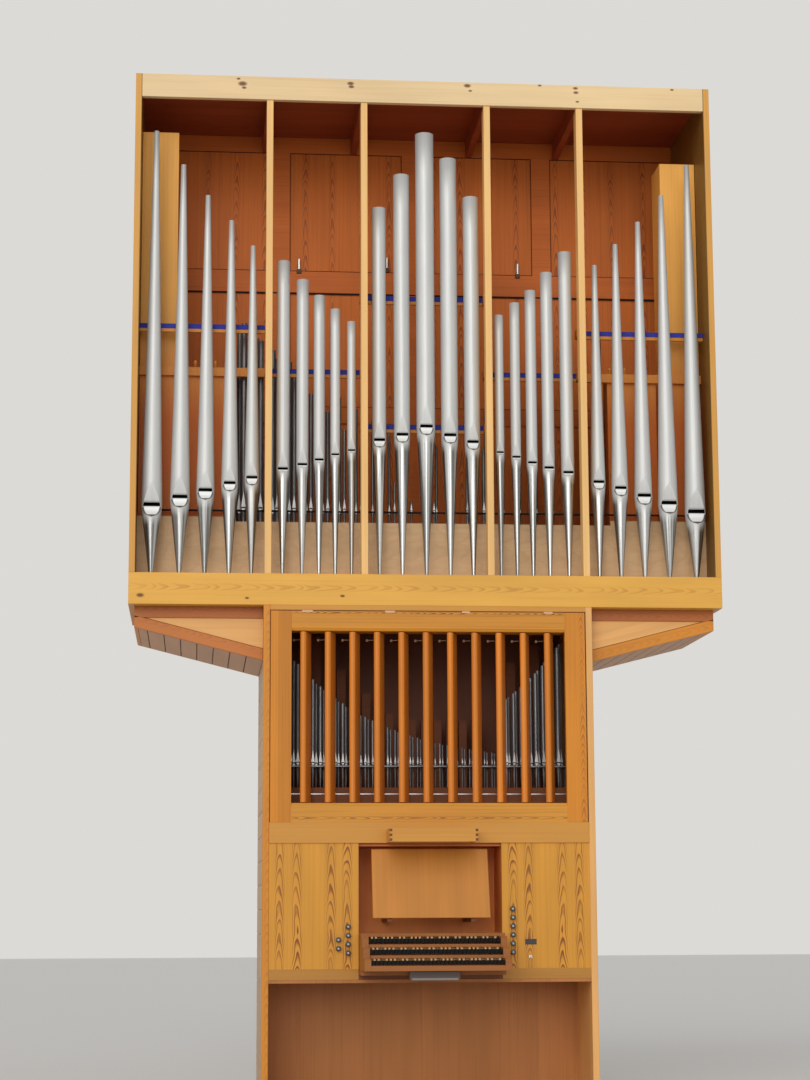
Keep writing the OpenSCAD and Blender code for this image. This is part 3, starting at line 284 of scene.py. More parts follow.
# Woods by name: light and dark colour, way of the grain, and what differs from plain pine
WOODS = {
    # Top rail, washed pale by the light, with clusters of knots
    "pine_top": ("#E7C998", "#CC9D61", "x", dict(lines=0.25, knots=TOP_KNOTS)),
    # Honey coloured rail under the display pipes, with one row of flat arches
    "pine_low": ("#E2A947", "#BB7B24", "x", dict(
        hearts=(3.095,), heart_w=0.022, period=0.10, arch=1.0, flame=0.6, lines=0.2,
        knots=LOW_KNOTS)),
    # Clear, pale uprights between the bays
    "pine_mullion": ("#ECBC77", "#CC974F", "z"),
    # Sides of the upper case: honey coloured in front, painted shade on the face that looks inwards
    "pine_side": ("#D49A46", "#B07630", "z", dict(
        mirrored=True, bands=((UPPER_IN, 0.003, 0.30),))),
    # Uprights of the swell front, with the figure near their outer edge
    "pine_stile": ("#D2841F", "#A3580F", "z", dict(
        hearts=(0.936,), heart_w=0.018, period=0.055, bands=((-0.874, 0.040, 0.82),))),
    # Its head, with sharp dark arches near the upper edge and a paler lower one
    "pine_head": ("#CA8627", "#763F08", "x", dict(
        hearts=(2.944,), heart_w=0.010, period=0.055, arch=1.2, flame=1.0, tone=0.05,
        bands=((2.847, 0.012, 1.10),))),
    # Its sill, with longer and softer arches
    "pine_sill": ("#D18F2F", "#8B5113", "x", dict(
        hearts=(1.706,), heart_w=0.012, period=0.09, arch=1.2, flame=0.9, tone=0.05)),
    # Console rails; the lowest one has a darker band of painted shade under the keyboards
    "pine_rail": ("#CD903C", "#B17026", "x", dict(
        lines=0.2, tone=0.05, bands=((0.78, 0.04, 0.76),))),
    # Cheeks and strips of the keyboards, a deeper honey colour, partly painted shade under the keys
    "pine_cheek": ("#9C5E28", "#764518", "x", dict(lines=0.25, tone=0.05)),
    # Swell shutters, oiled a shade deeper than the case
    "pine_shutter": ("#D98029", "#A35610", "z", dict(plank=0.149, lines=0.25, gloss=0.36)),
    # Console panels with four narrow columns of arches each
    "pine_panel": ("#D69530", "#84410A", "z", dict(
        hearts=PANEL_HEARTS, heart_w=0.032, period=0.100, arch=2.2, flame=1.0, mirrored=True,
        lines=0.15)),
    # Boards that carry a map of their own; the rail and the slope of a bracket are redder, and the
    # rail is darker too, as painted shade under the case
    "pine_board": ("#D28729", "#A95D14", "uv", ONE_HEART),
    "pine_red": ("#B4682E", "#8A4A1C", "uv", ONE_HEART),
    "pine_slope": ("#C27434", "#9A541E", "uv", ONE_HEART),
    # Sides of the lower case, greyed as painted shade, and undersides of the brackets
    "pine_clad": ("#B99467", "#8E6A42", "uv", dict(lines=0.35)),
    "pine_soffit": ("#C99465", "#9C6738", "uv"),
    # Shaded ends under the keyboards and the desk, brown
    "pine_cheek_end": ("#7A4426", "#5A2E18", "uv", dict(gloss=0.5)),
    # Clear sapwood without arches
    "pine_pale": ("#E4AB66", "#C48944", "uv", dict(lines=0.2)),
    # Unvarnished boards inside the case, dull, redder and darker as painted shade and bounced light
    "pine_inner": ("#D17028", "#873D11", "z", dict(
        hearts=BACK_HEARTS, period=0.10, arch=1.6, mirrored=True, gloss=0.6)),
    "pine_inner_rail": ("#CC6B27", "#934617", "x", dict(gloss=0.6)),
    "pine_ceiling": ("#9E4A26", "#6E2F16", "flat", dict(plank=0.12, gloss=0.6)),
    "pine_back": ("#74422A", "#583019", "z", dict(plank=0.20, gloss=0.55)),
    # Niche of the music desk, with painted shade under its ceiling
    "pine_niche": ("#EE9048", "#D6743A", "z", dict(
        lines=0.25, gloss=0.5, fade=(1.556, 1.530, "#A88C80"))),
    # Knee boards, plain and rubbed dull
    "pine_knee": ("#B4743C", "#8A5226", "z", dict(plank=0.24, gloss=0.5)),
    # Birch plywood of the chest fronts, pinkish, with a short flame figure
    "birch_ply": ("#D9B386", "#C09669", "x", dict(
        hearts=(3.25, 3.36, 3.47), heart_w=0.07, period=0.14, arch=0.8, flame=0.35, gloss=0.5)),
    # Varnished plywood of the music desk, an even brown orange
    "desk_ply": ("#C68236", "#A36122", "uv", dict(lines=0.2, gloss=0.4)),
    # Wooden pipes of clear spruce, darker and redder towards their feet as painted shade
    "pipe_spruce": ("#F2B052", "#CB8633", "z", dict(gloss=0.5, fade=(4.20, 4.80, "#E7A989"))),
    # Chest behind the shutters, darkened as painted shade
    "swell_spruce": ("#7C482A", "#56301C", "x", dict(gloss=0.65)),
    # Oak of the pedals, worn smooth and shining
    "pedal_oak": ("#D2A468", "#A97C44", "uv", dict(lines=0.35, gloss=0.35)),
}

# Pipe metal by name: colour, colour of the marks, roughness and depth of the marks
TINS = {
    # Display pipes, satin; the user sets their colour
    "pipe_tin": ("#CFCFCC", "#8C8B88", 0.50, 0.10),
    # Inner pipes in the case, and those behind the shutters, darkened as painted shade
    "inner_tin": ("#727373", "#424242", 0.36, 0.5),
    "swell_tin": ("#7E8082", "#48494B", 0.34, 0.6),
}

# Other finishes by name: colour, roughness and what differs
EVEN = {
    # Wool felt glued to the rails, deep blue and matt; the user sets its colour
    "wool_felt": ("#343A98", 0.95, dict(mottle=0.12, scale=400.0, relief=0.0006)),
    # Ebony of the naturals, oiled, near black
    "oiled_ebony": ("#060606", 0.50, dict(mottle=0.2, scale=160.0, specular=0.15)),
    # Pear wood with bone on the sharps
    "sharp_bone": ("#CDA06A", 0.40, dict(mottle=0.05, scale=60.0)),
    # Bare porcelain discs in the stop knobs
    "porcelain": ("#B4B1AA", 0.30, dict(mottle=0.02)),
    # Metal inside the display pipes, tarnished, and near black as painted shade
    "tarnished_tin": ("#232322", 0.7, dict(metallic=0.3, specular=0.2)),
    # Lips of the inner pipes, planed bright
    "bright_tin": ("#D6D6D3", 0.35, dict(metallic=0.5, mottle=0.04)),
    # Black lacquer on turned wood
    "lacquer": ("#141416", 0.28, dict(mottle=0.05, coat=0.4)),
    # Painted sheet steel of the pedal lamp, and its white glass, not lit, grey as painted shade
    "grey_enamel": ("#6E5C54", 0.42, dict(mottle=0.03)),
    "milk_glass": ("#9C9892", 0.30, dict(mottle=0.02, coat=0.3)),
    # Zinc plated steel of bolts and the lock
    "zinc_steel": ("#B9B8B2", 0.35, dict(metallic=1.0, mottle=0.08)),
    # Browned steel of the keepers, and brass of the hinges, brushed and dull
    "brown_steel": ("#4A2C1C", 0.5, dict(metallic=0.3)),
    "dull_brass": ("#C49C7C", 0.45, dict(metallic=0.4)),
    # Waxed beech of the shutter arms
    "waxed_beech": ("#8E6A50", 0.55, dict(mottle=0.12)),
    # Sawn end grain of finger joints, which drinks the varnish and turns dark
    "end_grain": ("#6B3516", 0.6, dict(mottle=0.2)),
    # Painted shade: dark strips laid in narrow gaps and grooves
    "painted_shade_black": ("#140C08", 0.9),
    "painted_shade_brown": ("#3A1A0C", 0.9),
    # Engraving stock of the label, bare
    "black_plate": ("#2A2524", 0.35, dict(mottle=0.08)),
}


def material(key):
    """The material of this name, made when it is first asked for."""
    if key in bpy.data.materials:
        return bpy.data.materials[key]
    look = bpy.context.scene.organ_look
    if key in WOODS:
        light, dark, grain, *more = WOODS[key]
        light, dark = ((*(np.array(linear(c)[:3]) * look.stain[:3]), 1.0) for c in (light, dark))
        return wood(key, light, dark, grain, **dict(*more))
    chosen = {"pipe_tin": look.tin, "wool_felt": look.felt}
    if key in TINS:
        colour, dark, rough, streak = TINS[key]
        colour = chosen[key][:] if key in chosen else linear(colour)
        return tin(key, colour, linear(dark), rough, streak, skin=key in chosen)
    colour, rough, *more = EVEN[key]
    colour = chosen[key][:] if key in chosen else linear(colour)
    return even(key, colour, rough, **dict(*more))


def linked(name, data):
    """A new object of this data, in the scene."""
    o = bpy.data.objects.new(name, data)
    bpy.context.scene.collection.objects.link(o)
    return o


def piece(name, points, faces, key, slot=None, body=CASE, uv=None, form=None, sharp=35.0,
          keep=()):
    """A mesh object from arrays: its finish, the body that it rides on, the nodes it stands for."""
    corners = np.concatenate([np.asarray(f, int).ravel() for f in faces])
    counts = np.concatenate([np.full(len(f), f.shape[1]) for f in faces])
    mesh = bpy.data.meshes.new(name)
    for part, n, attribute, values in (
            (mesh.vertices, len(points), "co", np.asarray(points, float).ravel()),
            (mesh.loops, len(corners), "vertex_index", corners),
            (mesh.polygons, len(counts), "loop_start", np.cumsum(counts) - counts)):
        part.add(n)
        part.foreach_set(attribute, values)
    mesh.update(calc_edges=True)
    if uv is not None:
        mesh.uv_layers.new(name="UVMap").data.foreach_set("uv", np.asarray(uv, float).ravel())
    if form is not None:
        layer = mesh.color_attributes.new("form", "FLOAT_COLOR", "POINT")
        layer.data.foreach_set("color", np.asarray(form, float).ravel())
    mesh.validate()
    mesh.polygons.foreach_set("use_smooth", np.ones(len(mesh.polygons), bool))
    mesh.set_sharp_from_angle(angle=math.radians(sharp))
    mesh.materials.append(material(key))
    o = linked(name, mesh)
    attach(o, body)
    if keep:
        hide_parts(*keep)
    return o


def paint(key, *nodes, soften=0.0):
    """Gives nodes of the solid model a finish, and rounds their edges by a small live bevel."""
    for name in nodes:
        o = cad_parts[name]
        o.data.materials.clear()
        o.data.materials.append(material(key))
        if soften:
            o.modifiers.new("weld", "WELD").merge_threshold = 0.00002
            edge = o.modifiers.new("edge", "BEVEL")
            edge.width, edge.segments = soften, 2
            edge.limit_method, edge.angle_limit = "ANGLE", math.radians(40)


def box_pattern():
    """Corner signs, squares and corner triangles of a chamfered box.

    Each corner is three points, one for each way in which its face looks, so that point 3 c + k
    lies on the face of corner c that looks along axis k.
    """
    signs = np.array(list(itertools.product((-1, 1), repeat=3)))

    def first(k, *turned):
        """The first point of the corner whose signs along axes k, k + 1 and k + 2 are given."""
        return 3 * sum(4 >> (k + i) % 3 for i, sign in enumerate(turned) if sign > 0)

    quads = []
    for k in range(3):
        a, b = (k + 1) % 3, (k + 2) % 3
        for side in (-1, 1):
            ring = [first(k, side, u, v) + k for u, v in ((-1, -1), (1, -1), (1, 1), (-1, 1))]
            quads.append(ring[::side])
        for u, v in itertools.product((-1, 1), repeat=2):
            p, q = first(k, -1, u, v), first(k, 1, u, v)
            quads.append([p + a, q + a, q + b, p + b][::u * v])
    triangles = [[3 * i, 3 * i + 1, 3 * i + 2][::s.prod()] for i, s in enumerate(signs)]
    return signs, np.array(quads), np.array(triangles)


BOX_SIGNS, BOX_QUADS, BOX_TRIANGLES = box_pattern()


def boards(name, rows, grain, key, slot=None, body=CASE, chamfer=0.002, keep=(), seed=SEED,
           warp=None):
    """Chamfered boards, one for each row of x0, x1, y0, y1, z0, z1.

    A point is its board's middle plus its corner's sign times half the size, drawn in by the
    chamfer along the two axes that its face doesn't look along. The map runs along the grain from
    a place of its own for each board. warp is a function that bends the finished points.
    """
    rows = np.asarray(rows, float).reshape(-1, 3, 2)
    n = len(rows)
    grain = np.broadcast_to(["xyz".index(g) for g in grain], n)
    middle, half = rows.mean(2), (rows[:, :, 1] - rows[:, :, 0]) / 2
    cut = np.minimum(chamfer, half.min(1) * 0.45)[:, None, None, None]
    local = BOX_SIGNS[None, :, None] * (half[:, None, None] - cut * (1.0 - np.eye(3)))
    local = local.reshape(n, 24, 3)
    rng = np.random.default_rng(seed)
    start = np.stack([rng.uniform(0, 40, n), rng.uniform(-0.02, 0.02, n)], 1)[:, None]
    i = np.arange(n)
    across = local[i, :, (grain + 1) % 3] + local[i, :, (grain + 2) % 3]
    flat = np.stack([local[i, :, grain], across], 2) + start
    faces, uv = [], []
    for f in (BOX_QUADS, BOX_TRIANGLES):
        faces.append((f[None] + 24 * i[:, None, None]).reshape(-1, f.shape[1]))
        uv.append(flat[:, f.ravel()].reshape(-1, 2))
    points = (local + middle[:, None]).reshape(-1, 3)
    points = warp(points) if warp else points
    return piece(name, points, faces, key, slot, body, np.concatenate(uv), sharp=30.0, keep=keep)


def strips(places, width, *rest):
    """Rows for boards of one width, with their middles at these places across."""
    return [(x - width / 2, x + width / 2, *rest) for x in places]


def turned(profile, centre, axis="z", n=32):
    """Points and faces of a closed turned shape: a profile of radii and heights round an axis."""
    profile = np.asarray(profile, float)
    angle = np.arange(n) * 2 * math.pi / n
    r, h = profile[:, :1], np.broadcast_to(profile[:, 1:], (len(profile), n))
    a, b = r * np.cos(angle), r * np.sin(angle)
    points = np.stack({"z": (a, b, h), "y": (a, h, -b)}[axis], 2).reshape(-1, 3) + centre
    i, j = np.meshgrid(np.arange(len(profile) - 1), np.arange(n), indexing="ij")
    k = (j + 1) % n
    quads = np.stack([i * n + j, i * n + k, (i + 1) * n + k, (i + 1) * n + j], 2).reshape(-1, 4)
    return points, [quads, np.arange(n)[None, ::-1], (len(profile) - 1) * n + np.arange(n)[None]]


def joined(parts):
    """One set of points and faces from several."""
    points, faces, start = [], {}, 0
    for p, fs in parts:
        for f in fs:
            faces.setdefault(f.shape[1], []).append(f + start)
        points.append(p)
        start += len(p)
    return np.concatenate(points), [np.concatenate(f) for f in faces.values()]


# Display pipes by bay, in mm. A bay has a side, middle and half width, the width of its pipes at
# the top, 0 where it is that of the mouth, and the height of the lower lip over the mouth's width.
# A pipe has its place from -1 to 1, height of the foot, length over the mouth, width and mouth.
BAYS = {
    "tapered_pipes": (
        (-1, 1390.25, 389.75, 31, 0.60, (
            (0.764, 451, 2400, 128, 108), (0.325, 502, 2133, 122, 99),
            (-0.072, 547, 1892, 112, 90), (-0.452, 594, 1685, 105, 78),
            (-0.801, 632, 1486, 92, 74))),
        (1, 1390.25, 389.75, 31, 0.60, (
            (-0.801, 632, 1407, 92, 74), (-0.452, 594, 1585, 105, 78),
            (-0.072, 547, 1783, 112, 90), (0.325, 500, 2010, 125, 102),
            (0.764, 446, 2269, 131, 112)))),
    "straight_pipes": (
        (-1, 684.5, 275, 0, 0.30, (
            (0.740, 691, 1329, 80, 68), (0.304, 720, 1182, 75, 64), (-0.075, 752, 1051, 69, 59),
            (-0.438, 787, 931, 61, 53), (-0.805, 816, 824, 54, 49))),
        (1, 684.5, 275, 0, 0.30, (
            (-0.805, 816, 883, 56, 49), (-0.438, 787, 993, 63, 56), (-0.075, 752, 1110, 69, 60),
            (0.304, 720, 1261, 76, 65), (0.740, 691, 1426, 82, 69)))),
    "middle_pipes": (
        (1, 0, 368.5, 0, 0.60, (
            (-0.790, 880, 1499, 87, 75), (-0.404, 914, 1684, 100, 79), (0.000, 966, 1906, 116, 84),
            (0.404, 914, 1797, 106, 82), (0.790, 874, 1588, 98, 77))),),
}
LIP_COLUMNS = 10


def display_pipe(x, y, foot, speaking, r, top_r, mouth_w, lip, shape):
    """Outer skin of a display pipe as a grid of angle and height, open at the mouth and the top.

    The radius grows along the foot up to the mouth and then runs evenly to the top. At the lips a
    plane in front cuts the round, nearest the axis at the mouth. Below the mouth the half width
    of the cut follows half an ellipse, above it a pointed leaf. The cut's edge is always a line of
    the grid: its angle is the arc cosine of the distance of the plane over the radius.
    """
    mouth_z, top_z = TOE_Z + foot, TOE_Z + foot + speaking
    flat = math.sqrt(r * r - mouth_w * mouth_w / 4)
    cut, leaf, lip_h = mouth_w * shape.cut_up, mouth_w * shape.leaf_rise, mouth_w * lip
    # Levels of the grid: the tip, 46 mm long, the end of the polish, the crease under the lower
    # lip, both lips and the body
    t = np.linspace(0, 1, 13)
    lower = mouth_z - lip_h * np.cos(t * math.pi / 2)
    upper = mouth_z + cut + (leaf - cut) * t
    toe = TOE_Z + np.array([0, 0.002, 0.046, 0.047])
    z = np.concatenate([toe, lower[0] - np.array([0.055, 0.007, 0.003]), lower, upper,
                        np.linspace(mouth_z + leaf, top_z, 7)[1:]])
    radius = np.where(z <= mouth_z, shape.toe_r + (r - shape.toe_r) * (z - TOE_Z) / foot,
                      r + (top_r - r) * (z - mouth_z) / speaking)
    radius[:3] += (-0.0015, 0.0009, 0.0009)
    rise = np.clip((z - mouth_z) / leaf, 0, 1)
    fall = np.clip((mouth_z - z) / lip_h, 0, 1)
    plane = np.where(z > mouth_z + 1e-6, r - (r - flat) * (1 - rise) ** shape.press,
                     np.sqrt(np.maximum(radius ** 2 - (1 - fall ** 2) * mouth_w ** 2 / 4, 0)))
    edge = np.maximum(np.arccos(np.clip(plane / radius, -1, 1)), 0.02)
    pressed = edge > 0.0201
    edge, rr = edge[:, None], radius[:, None]
    # Columns: shares of the cut from edge to edge, and then shares of the rest round the back
    cross = np.concatenate([[-1, -0.94], np.linspace(-0.82, 0.82, LIP_COLUMNS - 3), [0.94, 1]])
    back = np.concatenate([[0.012], np.linspace(0.035, 0.965, 32), [0.988]])
    around = edge + (2 * math.pi - 2 * edge) * back
    angle = np.concatenate([edge * cross, around], 1)
    px, py = rr * np.sin(angle), -rr * np.cos(angle)
    front = np.s_[pressed, :LIP_COLUMNS + 1]
    px[front], py[front] = (rr * np.sin(edge) * cross)[pressed], (-rr * np.cos(edge))[pressed]
    n = px.shape[1]
    points = np.stack([px + x, py + y, np.broadcast_to(z[:, None], px.shape)], 2).reshape(-1, 3)
    # Painted shade in the creases round the lips, fainter just outside them, then the painted
    # highlight of the lower lip and the polished foot
    form = np.zeros((len(z), n, 4))
    low_lip, high_lip = (fall > 0) & pressed, (rise > 0) & (rise < 0.8)
    crease_shade = 0.95 if lip > 0.5 else 0.3
    outside, under, last = crease_shade * 0.55, len(toe) + 2, LIP_COLUMNS
    form[:, [0, last], 0] = np.where(low_lip, crease_shade, np.where(high_lip, 0.22, 0.0))[:, None]
    for column, dark in ((1, crease_shade), (last - 1, crease_shade), (last + 1, outside), (n - 1, outside)):
        form[low_lip, column, 0] = dark
    form[under + 1:under + 6, :last + 1, 0] = crease_shade
    form[under, :last + 2, 0] = form[under, n - 1, 0] = outside
    form[low_lip, 2:last - 1, 2] = 1.0
    form[:, :, 1] = np.clip((mouth_z - lip_h - z) / 0.05, 0, 1)[:, None]
    # All cells of the grid but those of the mouth
    rows, cols = np.meshgrid(np.arange(len(z) - 1), np.arange(n), indexing="ij")
    mouth_row = len(toe) + 3 + len(lower) - 1
    solid = ~((rows == mouth_row) & (cols < LIP_COLUMNS))
    rows, cols = rows[solid], cols[solid]
    nxt = (cols + 1) % n
    seam = np.where(nxt == 0, 2 * math.pi * r, 0)
    cell = np.stack([rows, rows, rows + 1, rows + 1], 1), np.stack([cols, nxt, nxt, cols], 1)
    u = (angle * r)[cell] + np.stack([0 * seam, seam, seam, 0 * seam], 1)
    uv = np.stack([u + 7 * x, z[cell[0]]], 2).reshape(-1, 2)
    return points, cell[0] * n + cell[1], uv, form.reshape(-1, 4)


def languid(x, y, mouth_z, r, mouth_w, wall):
    """The plate inside the mouth: a disc turned about the axis, cut straight behind the lip."""
    inner = r - wall
    points, faces = turned([(0.001, 0), (inner, 0), (inner, 0.002), (0.001, 0.002)],
                           (x, y, mouth_z - 0.003))
    front = y - math.sqrt(r * r - mouth_w * mouth_w / 4) + wall + 0.001
    points[:, 1] = np.maximum(points[:, 1], front)
    return points, faces


def lips(name, x, y, z, d):
    """Thin bright lips on small pipes: a pointed leaf over each mouth and a short one under it.

    Each is a triangular plate on the front of its pipe: half the width is 0.4 of the diameter, and
    the point is three diameters up or half a diameter down.
    """
    shape = np.array([[-0.4, 0, 0.3], [0.4, 0, 0.3], [0, 0, 3.0],
                      [-0.4, 0, 0], [0, 0, -0.5], [0.4, 0, 0]])
    depth = np.array([-0.0006, 0.0030])[:, None] - d / 2
    points = np.stack([shape * d[:, None, None] + np.stack([x, y + k, 0 * x + z], 1)[:, None]
                       for k in depth], 1)
    start = 12 * np.arange(len(x))[:, None, None]
    caps = np.array([[0, 1, 2], [3, 4, 5], [8, 7, 6], [11, 10, 9]])
    rims = np.array([[b, a, a + 6, b + 6] for a, b in enumerate((1, 2, 0, 4, 5, 3))])
    faces = [(f[None] + start).reshape(-1, f.shape[1]) for f in (caps, rims)]
    piece(name, points.reshape(-1, 3), faces, "bright_tin", "pipe_metal", sharp=30.0)


class PipeShape(bpy.types.PropertyGroup):
    """Sizes that all display pipes share."""

    axis_back: FloatProperty(
        name="Axis", description="Distance of the pipe axes behind the front of the case",
        default=0.110, unit="LENGTH")
    wall: FloatProperty(
        name="Wall", description="Thickness of the pipe metal", default=0.0025, unit="LENGTH")
    toe_r: FloatProperty(name="Toe", description="Radius of the toe", default=0.009, unit="LENGTH")
    cut_up: FloatProperty(
        name="Cut-up", description="Height of the mouth over its width", default=0.2)
    leaf_rise: FloatProperty(
        name="Leaf", description="Height of the upper lip over its width", default=1.65)
    press: FloatProperty(name="Press", description="How pointed the upper lip is", default=1.6)


class Joinery(bpy.types.PropertyGroup):
    """Sizes of the boards that the cases are made of."""

    chamfer: FloatProperty(
        name="Chamfer", description="Rounding of the board edges", default=0.0025, unit="LENGTH")
    cladding: FloatProperty(
        name="Cladding", description="Width of the boards on the sides of the lower case",
        default=0.146, unit="LENGTH")
    soffit: FloatProperty(
        name="Soffit", description="Width of the boards under the brackets", default=0.100,
        unit="LENGTH")
    felt_h: FloatProperty(
        name="Felt", description="Height of the felt on the pipe rails", default=0.031,
        unit="LENGTH")


class Look(bpy.types.PropertyGroup):
    """Colours and light that a user would change."""

    stain: FloatVectorProperty(
        name="Stain", description="Multiplies the colour of every wood", subtype="COLOR", size=4,
        default=(1.0, 1.0, 1.0, 1.0))
    tin: FloatVectorProperty(
        name="Tin", description="Colour of the display pipes", subtype="COLOR", size=4,
        default=linear(TINS["pipe_tin"][0]))
    felt: FloatVectorProperty(
        name="Felt", description="Colour of the felt", subtype="COLOR", size=4,
        default=linear(EVEN["wool_felt"][0]))
    surround: FloatVectorProperty(
        name="Surround", description="Colour of the floor and the background", subtype="COLOR",
        size=4, default=linear("#DCDAD6"))
    sky: FloatProperty(
        name="Sky", description="Strength of the soft light from all round", default=0.50)
    sun: FloatProperty(name="Sun", description="Strength of the wide soft lamp", default=1.10)
    fill: FloatProperty(
        name="Fill", description="Strength of the level lamp in front", default=0.80)
    spread: FloatProperty(
        name="Spread", description="Angle over which the lamp shines", default=math.radians(45),
        subtype="ANGLE")


def set_camera(scene):
    """The photograph's camera: place, direction, roll and lens, found from the case edges."""
    place, yaw, pitch, roll, lens = (-1.4077, -14.066, 1.0916), 0.0912, 0.1644, 0.0045, 76.71
    level = math.cos(pitch)
    ahead = Vector((math.sin(yaw) * level, math.cos(yaw) * level, math.sin(pitch)))
    side = Vector((math.cos(yaw), -math.sin(yaw), 0))
    up = side.cross(ahead)
    right = math.cos(roll) * side - math.sin(roll) * up
    top = math.sin(roll) * side + math.cos(roll) * up
    data = bpy.data.cameras.new("camera")
    data.sensor_width, data.lens = 36.0, lens
    data.clip_start, data.clip_end = 0.1, 200.0
    scene.camera = linked("camera", data)
    turn = Matrix((right, top, -ahead)).transposed().to_4x4()
    scene.camera.matrix_world = Matrix.Translation(place) @ turn


class ORGAN_OT_stage(bpy.types.Operator):
    """Floor, background, lamps and camera"""

    bl_idname = "organ.stage"
    bl_label = "Stage"

    def execute(self, context):
        scene, look = context.scene, context.scene.organ_look
        scene.view_settings.view_transform = "Standard"
        set_camera(scene)
        floor, _, shader = shader_of("pale_floor", 0.9)
        shader.inputs["Base Color"].default_value = look.surround
        mesh, side, drop = bpy.data.meshes.new("floor"), 60.0, 0.0006
        mesh.from_pydata([(-side, -side, 0), (side, -side, 0), (side, side, 0), (-side, side, 0)],
                         [], [(0, 1, 2, 3)])
        mesh.materials.append(floor)
        o = linked("floor", mesh)
        o.location.z = -drop
        scene.world = bpy.data.worlds.new("soft_sky")
        scene.world.use_nodes = True
        t = scene.world.node_tree
        t.nodes.clear()
        path = add(t, "LightPath").node.outputs
        seen = add(t, "Math MAXIMUM", (path["Is Glossy Ray"], path["Is Transmission Ray"]))
        seen = add(t, "Math MAXIMUM", (path["Is Camera Ray"], seen))
        sky = add(t, "Background", ((1, 1, 1, 1), look.sky))
        backdrop = add(t, "Background", (look.surround[:], 1.0))
        add(t, "OutputWorld", (add(t, "MixShader", (seen, sky, backdrop)),))
        for name, strength, way in (("window", look.sun, (0.36, 0.86, -0.44)),
                                    ("fill", look.fill, (0.05, 1.0, -0.02))):
            lamp = bpy.data.lights.new(name, "SUN")
            lamp.energy, lamp.angle = strength, look.spread
            o = linked(name, lamp)
            o.rotation_mode = "QUATERNION"
            o.rotation_quaternion = Vector(way).to_track_quat("-Z", "Y")
        return {"FINISHED"}


class ORGAN_OT_case(bpy.types.Operator):
    """Boards, rails, mullions and back of the upper case"""

    bl_idname = "organ.case"
    bl_label = "Upper case"

    def execute(self, context):
        c = context.scene.organ_joinery.chamfer
        paint("pine_top", "top_rail", soften=c)
        paint("pine_low", "bottom_rail", soften=c)
        paint("pine_side", "case_sides", soften=c)
        paint("pine_mullion", "mullions", soften=c * 0.8)
        paint("pine_ceiling", "case_roof", "roof_beams")
        paint("pine_low", "case_floor")
        paint("pine_inner", "back_panels")
        paint("pine_inner_rail", "back_frame", soften=c)
        paint("birch_ply", "wind_chest", soften=c * 0.6)
        # Painted shade: a dark strip in the gap below the middle rail of the back, dark lines in
        # the grooves of its panels; then the door bolts
        y = low("back_frame")[1]
        panel_low, rail, panel_high, panel_top = 4.447, 5.212, 5.370, 6.184
        gap, groove, edges = 0.010, 0.004, (0.065, 0.813, 0.943)
        boards("door_gap_shade", [(-UPPER_IN, UPPER_IN, y - 0.001, y + 0.004, rail, rail + gap)],
               "x", "painted_shade_black", "dark_pine", chamfer=0.0005)
        ends = [-x for x in edges[::-1]] + list(edges)
        rows = [row for levels in ((panel_low, rail), (panel_high, panel_top))
                for row in strips(ends, groove, y - 0.0008, y + 0.004, *levels)]
        ends = [-UPPER_IN, *ends, UPPER_IN]
        rows += [(x0, x1, y - 0.0008, y + 0.004, z - groove / 2, z + groove / 2)
                 for z in (panel_low, panel_high, panel_top)
                 for x0, x1 in zip(ends[::2], ends[1::2])]
        boards("panel_groove_shade", rows, "x", "painted_shade_brown", "dark_pine", chamfer=0.0004)
        bolts = (-0.753, 5.398), (0.714, 5.395), (-0.166, 5.418)
        rows = [(x - 0.007, x + 0.007, y - 0.012, y, z - 0.020, z + 0.055) for x, z in bolts]
        boards("door_bolts", rows, "z", "zinc_steel", "steel", chamfer=0.003)
        rows = [(x - 0.016, x + 0.016, y - 0.009, y, z - 0.046, z - 0.020) for x, z in bolts]
        boards("bolt_keepers", rows, "z", "brown_steel", "steel", chamfer=0.002)
        return {"FINISHED"}


class ORGAN_OT_display(bpy.types.Operator):
    """Display pipes with their pressed lips and open mouths"""

    bl_idname = "organ.display"
    bl_label = "Display pipes"

    def execute(self, context):
        s = context.scene.organ_pipes
        y = FRONT + s.axis_back
        for node, bays in BAYS.items():
            grids, plates = [], []
            for side, centre, half, top_d, lip, rows in bays:
                for place, *sizes in rows:
                    x = side * (centre + place * half) / 1000
                    foot, speaking, d, mouth_w = np.array(sizes) / 1000
                    top_r = (top_d / 1000 or d) / 2
                    grids.append(display_pipe(x, y, foot, speaking, d / 2, top_r, mouth_w, lip, s))
                    plates.append(languid(x, y, TOE_Z + foot, d / 2, mouth_w, s.wall))
            points, quads, uv, form = zip(*grids)
            starts = np.cumsum([0] + [len(p) for p in points[:-1]])
            name = node.split("_")[0]
            faces = [np.concatenate([q + k for q, k in zip(quads, starts)])]
            o = piece(name + "_display", np.concatenate(points), faces, "pipe_tin", "pipe_metal",
                      uv=np.concatenate(uv), form=np.concatenate(form), sharp=24.0, keep=(node,))
            skin = o.modifiers.new("wall", "SOLIDIFY")
            skin.thickness, skin.offset, skin.material_offset = s.wall, -1.0, 1
            o.data.materials.append(material("tarnished_tin"))
            piece(name + "_languids", *joined(plates), "tarnished_tin", "pipe_metal")
        return {"FINISHED"}


